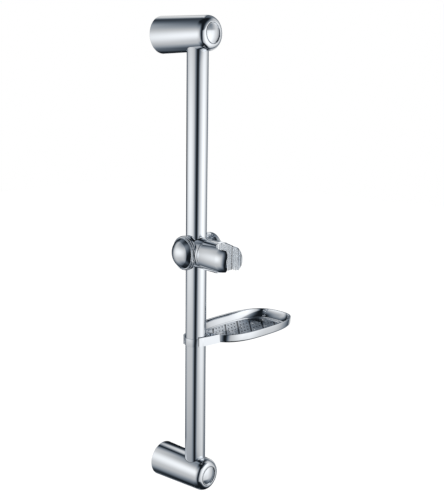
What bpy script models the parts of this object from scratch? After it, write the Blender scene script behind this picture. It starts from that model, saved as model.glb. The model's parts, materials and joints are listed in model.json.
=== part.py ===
"""Shower slide rail with a swivelling handset holder and a clip-on soap dish.

The wall is the plane Y = 0, the room lies toward -Y, and +Z is up. The origin is the centre of the
lower wall plate's back face. All lengths are in metres.
"""
import math

import bmesh
import bpy
from mathutils import Matrix, Vector

# Fits shared by all pieces
CLEARANCE = 0.0003
ROUND_STEPS = 32
RAIL_STEPS = 40
SMALL_STEPS = 16
ARC_STEPS = 4

# Rail and its place on the wall
BRACKET_SPACING = 0.528
WALL_TO_RAIL = 0.0555
RAIL_RADIUS = 0.0125
RAIL_WALL = 0.0012
RAIL_INSERTION = 0.0135

# Wall brackets, measured outwards from the wall
BRACKET_ROOT_RADIUS = 0.0215
BRACKET_FRONT_WALL = 0.0109
BRACKET_TAPER = 0.0267
BRACKET_WALL = 0.0028
BRACKET_ROUNDING = 0.0088
BRACKET_FACE_LIP = 0.0005
BRACKET_CAVITY_END_WALL = 0.0045

# Domed cover over the screw head
CAP_RADIUS = 0.0116
CAP_BEAD_WIDTH = 0.0013
CAP_BEAD_RISE = 0.0006
CAP_DOME_RISE = 0.0018
CAP_SEAT_DEPTH = 0.0030

# Retaining screw, through bracket and tube into the wall plate
SCREW_RADIUS = 0.0025
SCREW_HEAD_RADIUS = 0.0048
SCREW_HEAD_HEIGHT = 0.0034
SCREW_SOCKET_RADIUS = 0.0022
SCREW_SOCKET_DEPTH = 0.0022
SCREW_THREAD_DEPTH = 0.0200

# Wall plate
PLATE_THICKNESS = 0.0050
PLATE_BOSS_RADIUS = 0.0068
PLATE_BOSS_FILLET = 0.0020
PLATE_HOLE_RADIUS = 0.0023
PLATE_HOLE_HEAD_RADIUS = 0.0044
PLATE_HOLE_SPREAD = 0.0115

# Plastic plug in each end of the tube
PLUG_LENGTH = 0.0240
PLUG_WALL = 0.0030
PLUG_FLANGE = 0.0012

# Handset slider, its height and its turn about the rail away from straight out
SLIDER_HEIGHT = 0.2781
SLIDER_TURN_DEG = 10.5
BUSH_WALL = 0.0015
BUSH_HEIGHT = 0.0220
BUSH_SPLIT = 0.0024
BARREL_RADIUS = 0.0184
BARREL_FLANGE_RISE = 0.0020
BARREL_FLANGE_WIDTH = 0.0038
BARREL_FLANGE_EDGE = 0.0009
BARREL_NOSE_RADIUS = 0.0120
BARREL_NOSE_LENGTH = 0.0026
STUB_RADIUS = 0.0182
STUB_LENGTH = 0.0240
SPIGOT_RADIUS = 0.0080
SPIGOT_LENGTH = 0.0048

# Domed cover on the left of the slider and lock knob on the right, of one family
BEAD_WIDTH = 0.0018
BEAD_RISE = 0.0006
BEAD_GROOVE_DEPTH = 0.0008
COVER_DOME_RISE = 0.0107
COVER_STEP = 0.0006
COVER_EDGE = 0.0008
COVER_THICKNESS = 0.0020
COVER_SPIGOT_RADIUS = 0.0122
COVER_SPIGOT_LENGTH = 0.0022
COVER_SEAT_WALL = 0.0015
COVER_SKIN = 0.0026
KNOB_DOME_RISE = 0.0097
KNOB_OVERHANG = 0.0027
KNOB_EDGE = 0.0024
KNOB_THICKNESS = 0.0053
KNOB_END_GAP = 0.0004

# Clamp: the knob's stud drives a pad against the bush
PAD_RADIUS = 0.0050
PAD_THICKNESS = 0.0025
CLAMP_TRAVEL = 0.0005
CLAMP_END_WALL = 0.0032
STUD_RADIUS = 0.0030
STUD_GRIP = 0.0065

# Swivelling handset cradle, its reach taken from the stub's face to the centre of its bore
RING_THICKNESS = 0.0024
RING_RADIUS = 0.0178
CRADLE_RADIUS = 0.0184
CRADLE_REACH = 0.0330
CRADLE_END_LENGTH = 0.0170
CRADLE_BORE_RADIUS = 0.0130
CRADLE_SLOT_HALF_WIDTH = 0.0092
CRADLE_TIP_ROUNDING = 0.0022
LINER_WALL_TOP = 0.0017
LINER_WALL_BOTTOM = 0.0029
LINER_SETBACK = 0.0005
PIVOT_RADIUS = 0.0030
PIVOT_HEAD_RADIUS = 0.0050
PIVOT_HEAD_HEIGHT = 0.0034
PIVOT_HEAD_SINK = 0.0014
PIVOT_THREAD_DEPTH = 0.0060
PIVOT_WASHER = 0.0010

# Soap dish, its height and its turn about the rail
DISH_HEIGHT = 0.1700
DISH_TURN_DEG = -2.4
TRAY_OFFSET = 0.0190
TRAY_HALF_LENGTH = 0.0702
TRAY_HALF_WIDTH = 0.0404
TRAY_EXPONENT = 2.8
TRAY_STEPS = 56
TRAY_RIM_RISE = 0.0054
TRAY_BAND = 0.0100
TRAY_BAND_INSET = 0.0011
TRAY_RIM_WIDTH = 0.0031
TRAY_DEPTH = 0.0110
TRAY_FLOOR = 0.0016
TRAY_FLOOR_INSET = 0.0135
TRAY_RIDGE_RISE = 0.0012

# Tray floor: slanted blind grooves, rows of short drain slots between them, and studs beside them
FLOOR_MARGIN = 0.0030
GROOVE_ANGLE_DEG = 45.0
GROOVE_PITCH = 0.0230
GROOVE_COUNT = 6
GROOVE_WIDTH = 0.0020
GROOVE_DEPTH = 0.0008
SLOTS_PER_CELL = 3
SLOT_ROWS = 6
SLOT_WIDTH = 0.0016
SLOT_LENGTH = 0.0046
STUD_RADIUS_AT_FOOT = 0.0015
STUD_RISE = 0.0012
STUD_GAP = 0.0003
STUD_SPREAD = 2

# Clip and prongs that carry the tray on the rail
GRIP_WALL = 0.0006
GRIP_SETBACK = 0.0022
GRIP_OVERHANG = 0.0006
GRIP_SPLIT_DEG = 12.0
STRAP_THICKNESS = 0.0013
STRAP_HEIGHT = 0.0108
CLIP_NEAR_TIP_DEG = 121.0
CLIP_FAR_TIP_DEG = 144.0
PRONG_SPLAY_DEG = 9.0
PRONG_TOP_OVERLAP = 0.0045
PRONG_FOOT_OVERLAP = 0.0098

TO_ROOM = Matrix.Rotation(math.radians(90), 4, "X")
TO_LEFT = Matrix.Rotation(math.radians(-90), 4, "Y")
TO_RIGHT = Matrix.Rotation(math.radians(90), 4, "Y")
UPRIGHT = Matrix.Identity(4)
UPSIDE_DOWN = Matrix.Rotation(math.radians(180), 4, "Y")

FINISHES = {
    "chrome": ((0.82, 0.83, 0.85), 0.06, 1.0),
    "dish_chrome": ((0.80, 0.81, 0.84), 0.08, 1.0),
    "steel": ((0.62, 0.62, 0.63), 0.30, 1.0),
    "grey_plastic": ((0.55, 0.56, 0.58), 0.45, 0.0),
    "clear_plastic": ((0.80, 0.82, 0.84), 0.25, 0.0),
    "black_plastic": ((0.05, 0.05, 0.055), 0.50, 0.0),
}


def clear_scene():
    for obj in list(bpy.data.objects):
        bpy.data.objects.remove(obj, do_unlink=True)


def new_collection(name):
    collection = bpy.data.collections.new(name)
    bpy.context.scene.collection.children.link(collection)
    return collection


def finish(name):
    """Principled material of one of the finishes, made once."""
    existing = bpy.data.materials.get(name)
    if existing:
        return existing
    colour, roughness, metallic = FINISHES[name]
    material = bpy.data.materials.new(name)
    material.use_nodes = True
    shader = material.node_tree.nodes["Principled BSDF"]
    shader.inputs["Base Color"].default_value = (*colour, 1.0)
    shader.inputs["Roughness"].default_value = roughness
    shader.inputs["Metallic"].default_value = metallic
    return material


def add_empty(name, location, turn_deg):
    empty = bpy.data.objects.new(name, None)
    empty.location = location
    empty.rotation_euler = (0.0, 0.0, math.radians(turn_deg))
    PARTS.objects.link(empty)
    return empty


def add_mesh(name, mesh, pose, parent, collection):
    obj = bpy.data.objects.new(name, mesh)
    obj.parent = parent
    obj.matrix_basis = pose
    collection.objects.link(obj)
    return obj


def as_cutter(obj):
    obj.hide_render = True
    obj.display_type = "WIRE"
    return obj


def shade(obj, finish_name):
    obj.data.materials.append(finish(finish_name))
    obj.data.shade_smooth()
    obj.data.set_sharp_from_angle(angle=math.radians(35))
    return obj


def turned(name, profile, pose, parent, collection, steps=ROUND_STEPS, closed=False):
    """Solid of revolution: (radius, height) points, down the outer side, swept round local Z."""
    mesh = bpy.data.meshes.new(name)
    points = [(radius, 0.0, height) for radius, height in profile]
    edges = [(i, i + 1) for i in range(len(points) - 1)]
    if closed:
        edges.append((len(points) - 1, 0))
    mesh.from_pydata(points, edges, [])
    obj = add_mesh(name, mesh, pose, parent, collection)
    screw = obj.modifiers.new("Turn", "SCREW")
    screw.steps = steps
    screw.render_steps = steps
    screw.use_merge_vertices = True
    screw.merge_threshold = 0.00001
    screw.use_smooth_shade = True
    return obj


def turned_part(name, profile, finish_name, pose=UPRIGHT, parent=None, steps=ROUND_STEPS, closed=False):
    obj = turned(name, profile, pose, parent, PARTS, steps, closed)
    obj.data.materials.append(finish(finish_name))
    return obj


def turned_cutter(name, profile, pose=UPRIGHT, parent=None, steps=ROUND_STEPS, closed=False):
    return as_cutter(turned(name, profile, pose, parent, CUTTERS, steps, closed))


def rod(radius, low, high):
    """Profile of a solid cylinder between two heights."""
    return [(0.0, high), (radius, high), (radius, low), (0.0, low)]


def sleeve(inner, outer, low, high):
    """Closed profile of a tube between two heights."""
    return [(inner, high), (outer, high), (outer, low), (inner, low)]


def quarter_arc(radius_from, height_from, radius_to, height_to, steps=ARC_STEPS):
    """Quarter ellipse that leaves its first point sideways and reaches its last going down."""
    points = []
    for i in range(1, steps + 1):
        angle = 0.5 * math.pi * i / steps
        radius = radius_from + (radius_to - radius_from) * math.sin(angle)
        height = height_to + (height_from - height_to) * math.cos(angle)
        points.append((radius, height))
    return points


def box_cutter(name, boxes, parent=None):
    """Cutter made of boxes, each given as its centre, its size and its turn about Z."""
    bm = bmesh.new()
    for centre, size, turn in boxes:
        place = Matrix.Translation(centre) @ Matrix.Rotation(turn, 4, "Z") @ Matrix.Diagonal((*size, 1.0))
        bmesh.ops.create_cube(bm, size=1.0, matrix=place)
    mesh = bpy.data.meshes.new(name)
    bm.to_mesh(mesh)
    bm.free()
    return as_cutter(add_mesh(name, mesh, UPRIGHT, parent, CUTTERS))


def combine(target, other, operation):
    boolean = target.modifiers.new(operation.title(), "BOOLEAN")
    boolean.operation = operation
    boolean.solver = "EXACT"
    boolean.object = other


def cut(target, *cutters):
    for cutter in cutters:
        combine(target, cutter, "DIFFERENCE")


def bracket_radius(distance):
    """Outer radius of a bracket at a distance from the wall."""
    return BRACKET_ROOT_RADIUS - BRACKET_TAPER * distance


def cap_seat_radius():
    return CAP_RADIUS + CLEARANCE


def bracket_length():
    """Distance from the wall to the front face of a bracket."""
    return WALL_TO_RAIL + RAIL_RADIUS + BRACKET_FRONT_WALL


def head_seat():
    """Distance from the wall of the face that the retaining screw's head bears on."""
    return bracket_length() - CAP_SEAT_DEPTH - SCREW_HEAD_HEIGHT - 2 * CLEARANCE


def cavity_end():
    """Distance from the wall at which a bracket's rear cavity stops short of the tube."""
    return WALL_TO_RAIL - RAIL_RADIUS - BRACKET_CAVITY_END_WALL


def bracket(name, height, far_side):
    """Tapered sleeve on the wall, bored crosswise for the tube, with the bore blind on its far side."""
    hole = SCREW_RADIUS + CLEARANCE
    head = SCREW_HEAD_RADIUS + CLEARANCE
    front = bracket_length()
    shoulder = front - BRACKET_ROUNDING
    cap_floor = front - CAP_SEAT_DEPTH
    lip = cap_seat_radius() + BRACKET_FACE_LIP
    profile = [(hole, head_seat()), (head, head_seat()), (head, cap_floor), (cap_seat_radius(), cap_floor)]
    profile += [(cap_seat_radius(), front), (lip, front)]
    profile += quarter_arc(lip, front, bracket_radius(shoulder), shoulder)
    profile += [(BRACKET_ROOT_RADIUS, 0.0), (BRACKET_ROOT_RADIUS - BRACKET_WALL, 0.0)]
    profile += [(bracket_radius(cavity_end()) - BRACKET_WALL, cavity_end()), (hole, cavity_end())]
    place = Matrix.Translation((0.0, 0.0, height))
    body = turned_part(name, profile, "chrome", place @ TO_ROOM, closed=True)
    stop = RAIL_INSERTION + PLUG_FLANGE + 2 * CLEARANCE
    reach = 2 * BRACKET_ROOT_RADIUS
    low, high = (-stop, reach) if far_side < 0 else (-reach, stop)
    bore = turned_cutter(
        name + "_bore",
        rod(RAIL_RADIUS + CLEARANCE, low, high),
        Matrix.Translation((0.0, -WALL_TO_RAIL, height)),
        steps=RAIL_STEPS,
    )
    cut(body, bore)
    return body


def cap(name, height):
    """Round cover with a bead round its edge and a shallow dome inside the bead."""
    front = bracket_length()
    back = front - CAP_SEAT_DEPTH + CLEARANCE
    bead_inner = CAP_RADIUS - CAP_BEAD_WIDTH
    bead_top = front + CAP_BEAD_RISE
    groove = front - CAP_BEAD_RISE
    dome_edge = bead_inner - CAP_BEAD_RISE
    profile = [(0.0, front + CAP_DOME_RISE)]
    profile += quarter_arc(0.0, front + CAP_DOME_RISE, dome_edge, groove)
    profile += [(bead_inner, groove), (bead_inner + 0.25 * CAP_BEAD_WIDTH, bead_top)]
    profile += [(CAP_RADIUS - 0.25 * CAP_BEAD_WIDTH, bead_top), (CAP_RADIUS, front)]
    profile += [(CAP_RADIUS, back), (0.0, back)]
    return turned_part(name, profile, "chrome", Matrix.Translation((0.0, 0.0, height)) @ TO_ROOM)


def wall_plate(name, height):
    """Disc screwed to the wall, with a long threaded boss for the retaining screw."""
    radius = BRACKET_ROOT_RADIUS - BRACKET_WALL - BRACKET_TAPER * PLATE_THICKNESS - CLEARANCE
    boss_end = cavity_end() - CLEARANCE
    thread_end = boss_end - SCREW_THREAD_DEPTH - CLEARANCE
    hole = SCREW_RADIUS + CLEARANCE
    profile = [(0.0, thread_end), (hole, thread_end), (hole, boss_end), (PLATE_BOSS_RADIUS, boss_end)]
    profile += [(PLATE_BOSS_RADIUS, PLATE_THICKNESS + PLATE_BOSS_FILLET)]
    profile += [(PLATE_BOSS_RADIUS + PLATE_BOSS_FILLET, PLATE_THICKNESS)]
    profile += [(radius, PLATE_THICKNESS), (radius, 0.0), (0.0, 0.0)]
    place = Matrix.Translation((0.0, 0.0, height)) @ TO_ROOM
    plate = turned_part(name, profile, "steel", place, steps=SMALL_STEPS)
    countersink = PLATE_HOLE_HEAD_RADIUS - PLATE_HOLE_RADIUS
    hole_profile = [(0.0, 2 * PLATE_THICKNESS), (PLATE_HOLE_HEAD_RADIUS, 2 * PLATE_THICKNESS)]
    hole_profile += [(PLATE_HOLE_HEAD_RADIUS, PLATE_THICKNESS)]
    hole_profile += [(PLATE_HOLE_RADIUS, PLATE_THICKNESS - countersink)]
    hole_profile += [(PLATE_HOLE_RADIUS, -PLATE_THICKNESS), (0.0, -PLATE_THICKNESS)]
    for side in (-1, 1):
        spot = Matrix.Translation((side * PLATE_HOLE_SPREAD, 0.0, height)) @ TO_ROOM
        cut(plate, turned_cutter(f"{name}_hole_{side + 1}", hole_profile, spot, steps=SMALL_STEPS))
    return plate


def retaining_screw(name, height):
    """Long machine screw with a hexagonal socket in its head."""
    head_top = head_seat() + CLEARANCE + SCREW_HEAD_HEIGHT
    bearing = head_seat() + CLEARANCE
    tip = cavity_end() - CLEARANCE - SCREW_THREAD_DEPTH
    profile = [(0.0, head_top), (SCREW_HEAD_RADIUS, head_top), (SCREW_HEAD_RADIUS, bearing)]
    profile += [(SCREW_RADIUS, bearing), (SCREW_RADIUS, tip), (0.0, tip)]
    place = Matrix.Translation((0.0, 0.0, height)) @ TO_ROOM
    screw = turned_part(name, profile, "steel", place, steps=SMALL_STEPS)
    socket = rod(SCREW_SOCKET_RADIUS, head_top - SCREW_SOCKET_DEPTH, head_top + SCREW_SOCKET_DEPTH)
    cut(screw, turned_cutter(name + "_socket", socket, place, steps=6))
    return screw


def tube_plug(name, height, pose):
    """Plastic cup in the tube's end, flanged over the end face and pierced for the screw."""
    outer = RAIL_RADIUS - RAIL_WALL - CLEARANCE
    flange_low = RAIL_INSERTION + CLEARANCE
    flange_high = flange_low + PLUG_FLANGE
    inner_end = flange_high - PLUG_LENGTH
    profile = [(0.0, flange_high), (RAIL_RADIUS - CLEARANCE, flange_high), (RAIL_RADIUS - CLEARANCE, flange_low)]
    profile += [(outer, flange_low), (outer, inner_end), (outer - PLUG_WALL, inner_end)]
    profile += [(outer - PLUG_WALL, flange_low - PLUG_WALL), (0.0, flange_low - PLUG_WALL)]
    centre = Matrix.Translation((0.0, -WALL_TO_RAIL, height))
    plug = turned_part(name, profile, "grey_plastic", centre @ pose, steps=SMALL_STEPS)
    cut(plug, cross_hole(name + "_cross_hole", height))
    return plug


def cross_hole(name, height):
    """Cutter for the screw's way through the tube."""
    half = 2 * RAIL_RADIUS
    centre = Matrix.Translation((0.0, -WALL_TO_RAIL, height)) @ TO_ROOM
    return turned_cutter(name, rod(SCREW_RADIUS + CLEARANCE, -half, half), centre, steps=SMALL_STEPS)


def column():
    """Tube and all that holds it to the wall."""
    ends = (("lower", 0.0, -1), ("upper", BRACKET_SPACING, 1))
    profile = sleeve(RAIL_RADIUS - RAIL_WALL, RAIL_RADIUS, -RAIL_INSERTION, BRACKET_SPACING + RAIL_INSERTION)
    place = Matrix.Translation((0.0, -WALL_TO_RAIL, 0.0))
    tube = turned_part("rail_tube", profile, "chrome", place, steps=RAIL_STEPS, closed=True)
    for end, height, far_side in ends:
        cut(tube, cross_hole(f"rail_tube_{end}_hole", height))
        bracket(f"{end}_bracket", height, far_side)
        cap(f"{end}_cap", height)
        wall_plate(f"{end}_wall_plate", height)
        retaining_screw(f"{end}_retaining_screw", height)
        tube_plug(f"{end}_tube_plug", height, UPRIGHT if far_side > 0 else UPSIDE_DOWN)


def hub_radius():
    """Radius of the slider's rail hole, which runs on the bush."""
    return RAIL_RADIUS + BUSH_WALL + 2 * CLEARANCE


def pad_back_face():
    """Distance from the rail's axis of the back of the brake pad, with the knob undone."""
    return hub_radius() + PAD_THICKNESS


def clamp_pocket_end():
    """Distance from the rail's axis at which the brake pad's pocket ends."""
    return pad_back_face() + CLAMP_TRAVEL + CLEARANCE


def barrel_right():
    """Distance from the rail's axis of the barrel's shoulder behind the lock knob."""
    return clamp_pocket_end() + CLAMP_END_WALL - BARREL_NOSE_LENGTH


def barrel_left():
    """Distance from the rail's axis of the barrel's end under the domed cover."""
    return hub_radius() + COVER_SEAT_WALL + COVER_SPIGOT_LENGTH


def flange_radius():
    return BARREL_RADIUS + BARREL_FLANGE_RISE


def cover_radius():
    return flange_radius() - COVER_STEP


def slider_bush(parent):
    """Plastic sleeve on the rail, split at the wall side so that the pad can squeeze it."""
    inner = RAIL_RADIUS + CLEARANCE
    half = 0.5 * BUSH_HEIGHT
    bush = turned_part(
        "slider_bush",
        sleeve(inner, inner + BUSH_WALL, -half, half),
        "grey_plastic",
        parent=parent,
        steps=RAIL_STEPS,
        closed=True,
    )
    centre = Vector((0.0, inner + 0.5 * BUSH_WALL, 0.0))
    size = (BUSH_SPLIT, 4 * BUSH_WALL, 2 * BUSH_HEIGHT)
    cut(bush, box_cutter("slider_bush_split", [(centre, size, 0.0)], parent))


def hub_hole(name, parent):
    return turned_cutter(name, rod(hub_radius(), -2 * BARREL_RADIUS, 2 * BARREL_RADIUS), parent=parent, steps=RAIL_STEPS)


def slider_body(parent):
    """T-shaped casting: a barrel across the rail and a stub that carries the cradle."""
    right, left = barrel_right(), barrel_left()
    nose_end = right + BARREL_NOSE_LENGTH
    edge = flange_radius() - BARREL_FLANGE_EDGE
    flange_start = BARREL_FLANGE_WIDTH - left
    profile = [(0.0, nose_end), (BARREL_NOSE_RADIUS, nose_end), (BARREL_NOSE_RADIUS, right)]
    profile += [(BARREL_RADIUS, right), (BARREL_RADIUS, flange_start), (edge, flange_start)]
    profile += [(flange_radius(), flange_start - BARREL_FLANGE_EDGE)]
    profile += [(flange_radius(), BARREL_FLANGE_EDGE - left), (edge, -left), (0.0, -left)]
    barrel = turned_part("slider_body", profile, "chrome", TO_RIGHT, parent)
    stub_profile = [(0.0, STUB_LENGTH + SPIGOT_LENGTH), (SPIGOT_RADIUS, STUB_LENGTH + SPIGOT_LENGTH)]
    stub_profile += [(SPIGOT_RADIUS, STUB_LENGTH), (STUB_RADIUS, STUB_LENGTH), (STUB_RADIUS, 0.0), (0.0, 0.0)]
    stub = turned_cutter("slider_stub", stub_profile, TO_ROOM, parent)
    combine(barrel, stub, "UNION")
    pad_hole = PAD_RADIUS + CLEARANCE
    stud_hole = STUD_RADIUS + CLEARANCE
    clamp_profile = [(0.0, 2 * right), (stud_hole, 2 * right), (stud_hole, clamp_pocket_end())]
    clamp_profile += [(pad_hole, clamp_pocket_end()), (pad_hole, 0.5 * hub_radius()), (0.0, 0.5 * hub_radius())]
    cover_seat = rod(COVER_SPIGOT_RADIUS + CLEARANCE, left - COVER_SPIGOT_LENGTH, 2 * left)
    pivot_low = STUB_LENGTH - PIVOT_THREAD_DEPTH
    pivot_hole = rod(PIVOT_RADIUS + CLEARANCE, pivot_low, 2 * STUB_LENGTH)
    cut(
        barrel,
        hub_hole("slider_hub_hole", parent),
        turned_cutter("slider_cover_seat", cover_seat, TO_LEFT, parent),
        turned_cutter("slider_clamp_bore", clamp_profile, TO_RIGHT, parent, steps=SMALL_STEPS),
        turned_cutter("slider_pivot_hole", pivot_hole, TO_ROOM, parent, steps=SMALL_STEPS),
    )


def domed_face(face, dome_rise, rim_radius, edge):
    """Outer side of a round end: dome, groove, bead and rounded edge."""
    bead_radius = cover_radius() - COVER_EDGE
    bead_inner = bead_radius - BEAD_WIDTH
    groove = face - BEAD_GROOVE_DEPTH
    apex = face + dome_rise
    dome_edge = bead_inner - 0.5 * BEAD_GROOVE_DEPTH
    profile = [(0.0, apex)] + quarter_arc(0.0, apex, dome_edge, groove, 2 * ARC_STEPS - 1)
    bead = 0.5 * BEAD_WIDTH
    for i in range(ARC_STEPS + 1):
        angle = math.pi * (1.0 - i / ARC_STEPS)
        radius = bead_inner + bead + bead * math.cos(angle)
        profile.append((radius, groove + (BEAD_GROOVE_DEPTH + BEAD_RISE) * math.sin(angle)))
    top = (bead_radius + 0.5 * BEAD_GROOVE_DEPTH, face)
    return profile + [top] + quarter_arc(*top, rim_radius, face - edge)


def dome_cap(parent):
    """Hollow domed cover, held by its spigot in the left end of the barrel."""
    back = barrel_left() + CLEARANCE
    face = barrel_left() + COVER_THICKNESS
    spigot_end = back - COVER_SPIGOT_LENGTH
    hollow = COVER_SPIGOT_RADIUS - COVER_SKIN
    ceiling = face + COVER_DOME_RISE - COVER_SKIN
    profile = domed_face(face, COVER_DOME_RISE, cover_radius(), COVER_EDGE)
    profile += [(cover_radius(), back), (COVER_SPIGOT_RADIUS, back), (COVER_SPIGOT_RADIUS, spigot_end)]
    profile += reversed(quarter_arc(0.0, ceiling, hollow, spigot_end))
    profile.append((0.0, ceiling))
    turned_part("dome_cap", profile, "chrome", TO_LEFT, parent)


def knob_back():
    """Distance from the rail's axis of the knob's back face."""
    return barrel_right() + KNOB_END_GAP


def knob_floor():
    """Distance from the rail's axis of the floor of the knob's recess, which clears the barrel's nose."""
    return knob_back() + BARREL_NOSE_LENGTH


def lock_knob(parent):
    """Domed knob over the nose of the barrel, with a socket for its stud."""
    recess = BARREL_NOSE_RADIUS + CLEARANCE
    socket = STUD_RADIUS + CLEARANCE
    socket_end = knob_floor() + STUD_GRIP + CLEARANCE
    radius = BARREL_RADIUS + KNOB_OVERHANG
    profile = domed_face(knob_back() + KNOB_THICKNESS, KNOB_DOME_RISE, radius, KNOB_EDGE)
    profile += [(radius, knob_back()), (recess, knob_back()), (recess, knob_floor())]
    profile += [(socket, knob_floor()), (socket, socket_end), (0.0, socket_end)]
    turned_part("lock_knob", profile, "chrome", TO_RIGHT, parent)


def clamp(parent):
    """Stud of the knob, and the pad that it presses on the bush."""
    stud_end = knob_floor() + STUD_GRIP
    stud = rod(STUD_RADIUS, pad_back_face() + CLEARANCE, stud_end)
    turned_part("knob_stud", stud, "steel", TO_RIGHT, parent, steps=SMALL_STEPS)
    block = rod(PAD_RADIUS, 0.5 * hub_radius(), pad_back_face())
    pad = turned_part("brake_pad", block, "black_plastic", TO_RIGHT, parent, SMALL_STEPS)
    cut(pad, hub_hole("brake_pad_face", parent))


def bore_centre():
    """Distance from the rail's axis of the axis of the cradle's bore."""
    return STUB_LENGTH + CRADLE_REACH


def cradle_form(setback=0.0):
    """Outer side of the cradle: a round bar with a domed end, or the same form set back inside it."""
    start = STUB_LENGTH + RING_THICKNESS + 2 * CLEARANCE
    top = bore_centre() + CRADLE_END_LENGTH - setback
    radius = CRADLE_RADIUS - setback
    profile = [(0.0, top)] + quarter_arc(0.0, top, radius, bore_centre(), 2 * ARC_STEPS)
    return profile + [(radius, start), (0.0, start)]


def cradle_slot(name, parent):
    """Cutter for the gap that lets the hose into the cradle, flared so that it rounds the fork's tips."""
    mouth = CRADLE_SLOT_HALF_WIDTH + CRADLE_TIP_ROUNDING
    tip = CRADLE_END_LENGTH * math.sqrt(1.0 - (mouth / CRADLE_RADIUS) ** 2)
    side = [(CRADLE_SLOT_HALF_WIDTH, 0.0)]
    for i in range(ARC_STEPS + 1):
        angle = 0.5 * math.pi * i / ARC_STEPS
        half = mouth - CRADLE_TIP_ROUNDING * math.cos(angle)
        side.append((half, tip - CRADLE_TIP_ROUNDING * (1.0 - math.sin(angle))))
    side.append((mouth, 2 * CRADLE_END_LENGTH))
    outline = side + [(-half, along) for half, along in reversed(side)]
    levels = (-2 * CRADLE_RADIUS, 2 * CRADLE_RADIUS)
    rings = [[Vector((half, -bore_centre() - along, z)) for half, along in outline] for z in levels]
    return as_cutter(add_mesh(name, loft(name, rings), UPRIGHT, parent, CUTTERS))


def web_seat():
    """Distance along the arm of the face that the pivot washer bears on."""
    screw_room = PIVOT_HEAD_SINK + PIVOT_HEAD_HEIGHT + PIVOT_WASHER + 2 * CLEARANCE
    return bore_centre() - CRADLE_BORE_RADIUS - screw_room


def handset_cradle(parent):
    """Forked bar that holds the handset, turning on the pivot screw."""
    cradle = turned_part("handset_cradle", cradle_form(), "chrome", TO_ROOM, parent)
    head = PIVOT_HEAD_RADIUS + 2 * CLEARANCE
    hole = PIVOT_RADIUS + CLEARANCE
    recess = SPIGOT_RADIUS + CLEARANCE
    recess_end = STUB_LENGTH + SPIGOT_LENGTH + CLEARANCE
    profile = [(0.0, bore_centre()), (head, bore_centre()), (head, web_seat()), (hole, web_seat())]
    profile += [(hole, recess_end), (recess, recess_end), (recess, 0.5 * STUB_LENGTH), (0.0, 0.5 * STUB_LENGTH)]
    bore_pose = Matrix.Translation((0.0, -bore_centre(), 0.0))
    bore = rod(CRADLE_BORE_RADIUS, -2 * CRADLE_RADIUS, 2 * CRADLE_RADIUS)
    cut(
        cradle,
        turned_cutter("cradle_bore", bore, bore_pose, parent),
        cradle_slot("cradle_slot", parent),
        turned_cutter("cradle_pivot_way", profile, TO_ROOM, parent, steps=SMALL_STEPS),
    )


def cradle_liner(parent):
    """Tapered plastic lining of the cradle's bore, open at the slot."""
    outer = CRADLE_BORE_RADIUS - CLEARANCE
    half = CRADLE_RADIUS + LINER_SETBACK
    profile = [(outer - LINER_WALL_TOP, half), (outer, half), (outer, -half), (outer - LINER_WALL_BOTTOM, -half)]
    pose = Matrix.Translation((0.0, -bore_centre(), 0.0))
    liner = turned_part("cradle_liner", profile, "clear_plastic", pose, parent, closed=True)
    combine(liner, turned_cutter("cradle_liner_form", cradle_form(LINER_SETBACK), TO_ROOM, parent), "INTERSECT")
    cut(liner, cradle_slot("cradle_liner_slot", parent))


def cradle_pivot(parent):
    """Friction ring on the spigot, and the screw and washer that the cradle turns on."""
    ring = sleeve(
        SPIGOT_RADIUS + CLEARANCE, RING_RADIUS, STUB_LENGTH + CLEARANCE, STUB_LENGTH + CLEARANCE + RING_THICKNESS
    )
    turned_part("friction_ring", ring, "grey_plastic", TO_ROOM, parent, closed=True)
    washer_low = web_seat() + CLEARANCE
    washer_high = washer_low + PIVOT_WASHER
    washer = sleeve(PIVOT_RADIUS + CLEARANCE, PIVOT_HEAD_RADIUS, washer_low, washer_high)
    turned_part("pivot_washer", washer, "steel", TO_ROOM, parent, steps=SMALL_STEPS, closed=True)
    bearing = washer_high + CLEARANCE
    head_top = bearing + PIVOT_HEAD_HEIGHT
    tip = STUB_LENGTH - PIVOT_THREAD_DEPTH + CLEARANCE
    profile = [(0.0, head_top), (PIVOT_HEAD_RADIUS, head_top), (PIVOT_HEAD_RADIUS, bearing)]
    profile += [(PIVOT_RADIUS, bearing), (PIVOT_RADIUS, tip), (0.0, tip)]
    screw = turned_part("pivot_screw", profile, "steel", TO_ROOM, parent, steps=SMALL_STEPS)
    socket = rod(SCREW_SOCKET_RADIUS, head_top - SCREW_SOCKET_DEPTH, head_top + SCREW_SOCKET_DEPTH)
    cut(screw, turned_cutter("pivot_screw_socket", socket, TO_ROOM, parent, steps=6))


def slider():
    """Handset holder, built straight out from the rail and turned with its empty."""
    place = add_empty("slider_axis", (0.0, -WALL_TO_RAIL, SLIDER_HEIGHT), -SLIDER_TURN_DEG)
    slider_bush(place)
    slider_body(place)
    dome_cap(place)
    lock_knob(place)
    clamp(place)
    handset_cradle(place)
    cradle_liner(place)
    cradle_pivot(place)


def tray_centre():
    """Distance from the rail's axis of the middle of the tray."""
    return TRAY_OFFSET + TRAY_HALF_LENGTH


def floor_level():
    return TRAY_RIM_RISE - TRAY_DEPTH


def tray_ring(inset, height):
    """Superellipse round the tray, drawn in by an inset."""
    points = []
    for i in range(TRAY_STEPS):
        angle = 2 * math.pi * i / TRAY_STEPS
        cosine, sine = math.cos(angle), math.sin(angle)
        along = math.copysign(abs(cosine) ** (2 / TRAY_EXPONENT), cosine)
        across = math.copysign(abs(sine) ** (2 / TRAY_EXPONENT), sine)
        x = tray_centre() + (TRAY_HALF_LENGTH - inset) * along
        points.append(Vector((x, (TRAY_HALF_WIDTH - inset) * across, height)))
    return points


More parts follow.
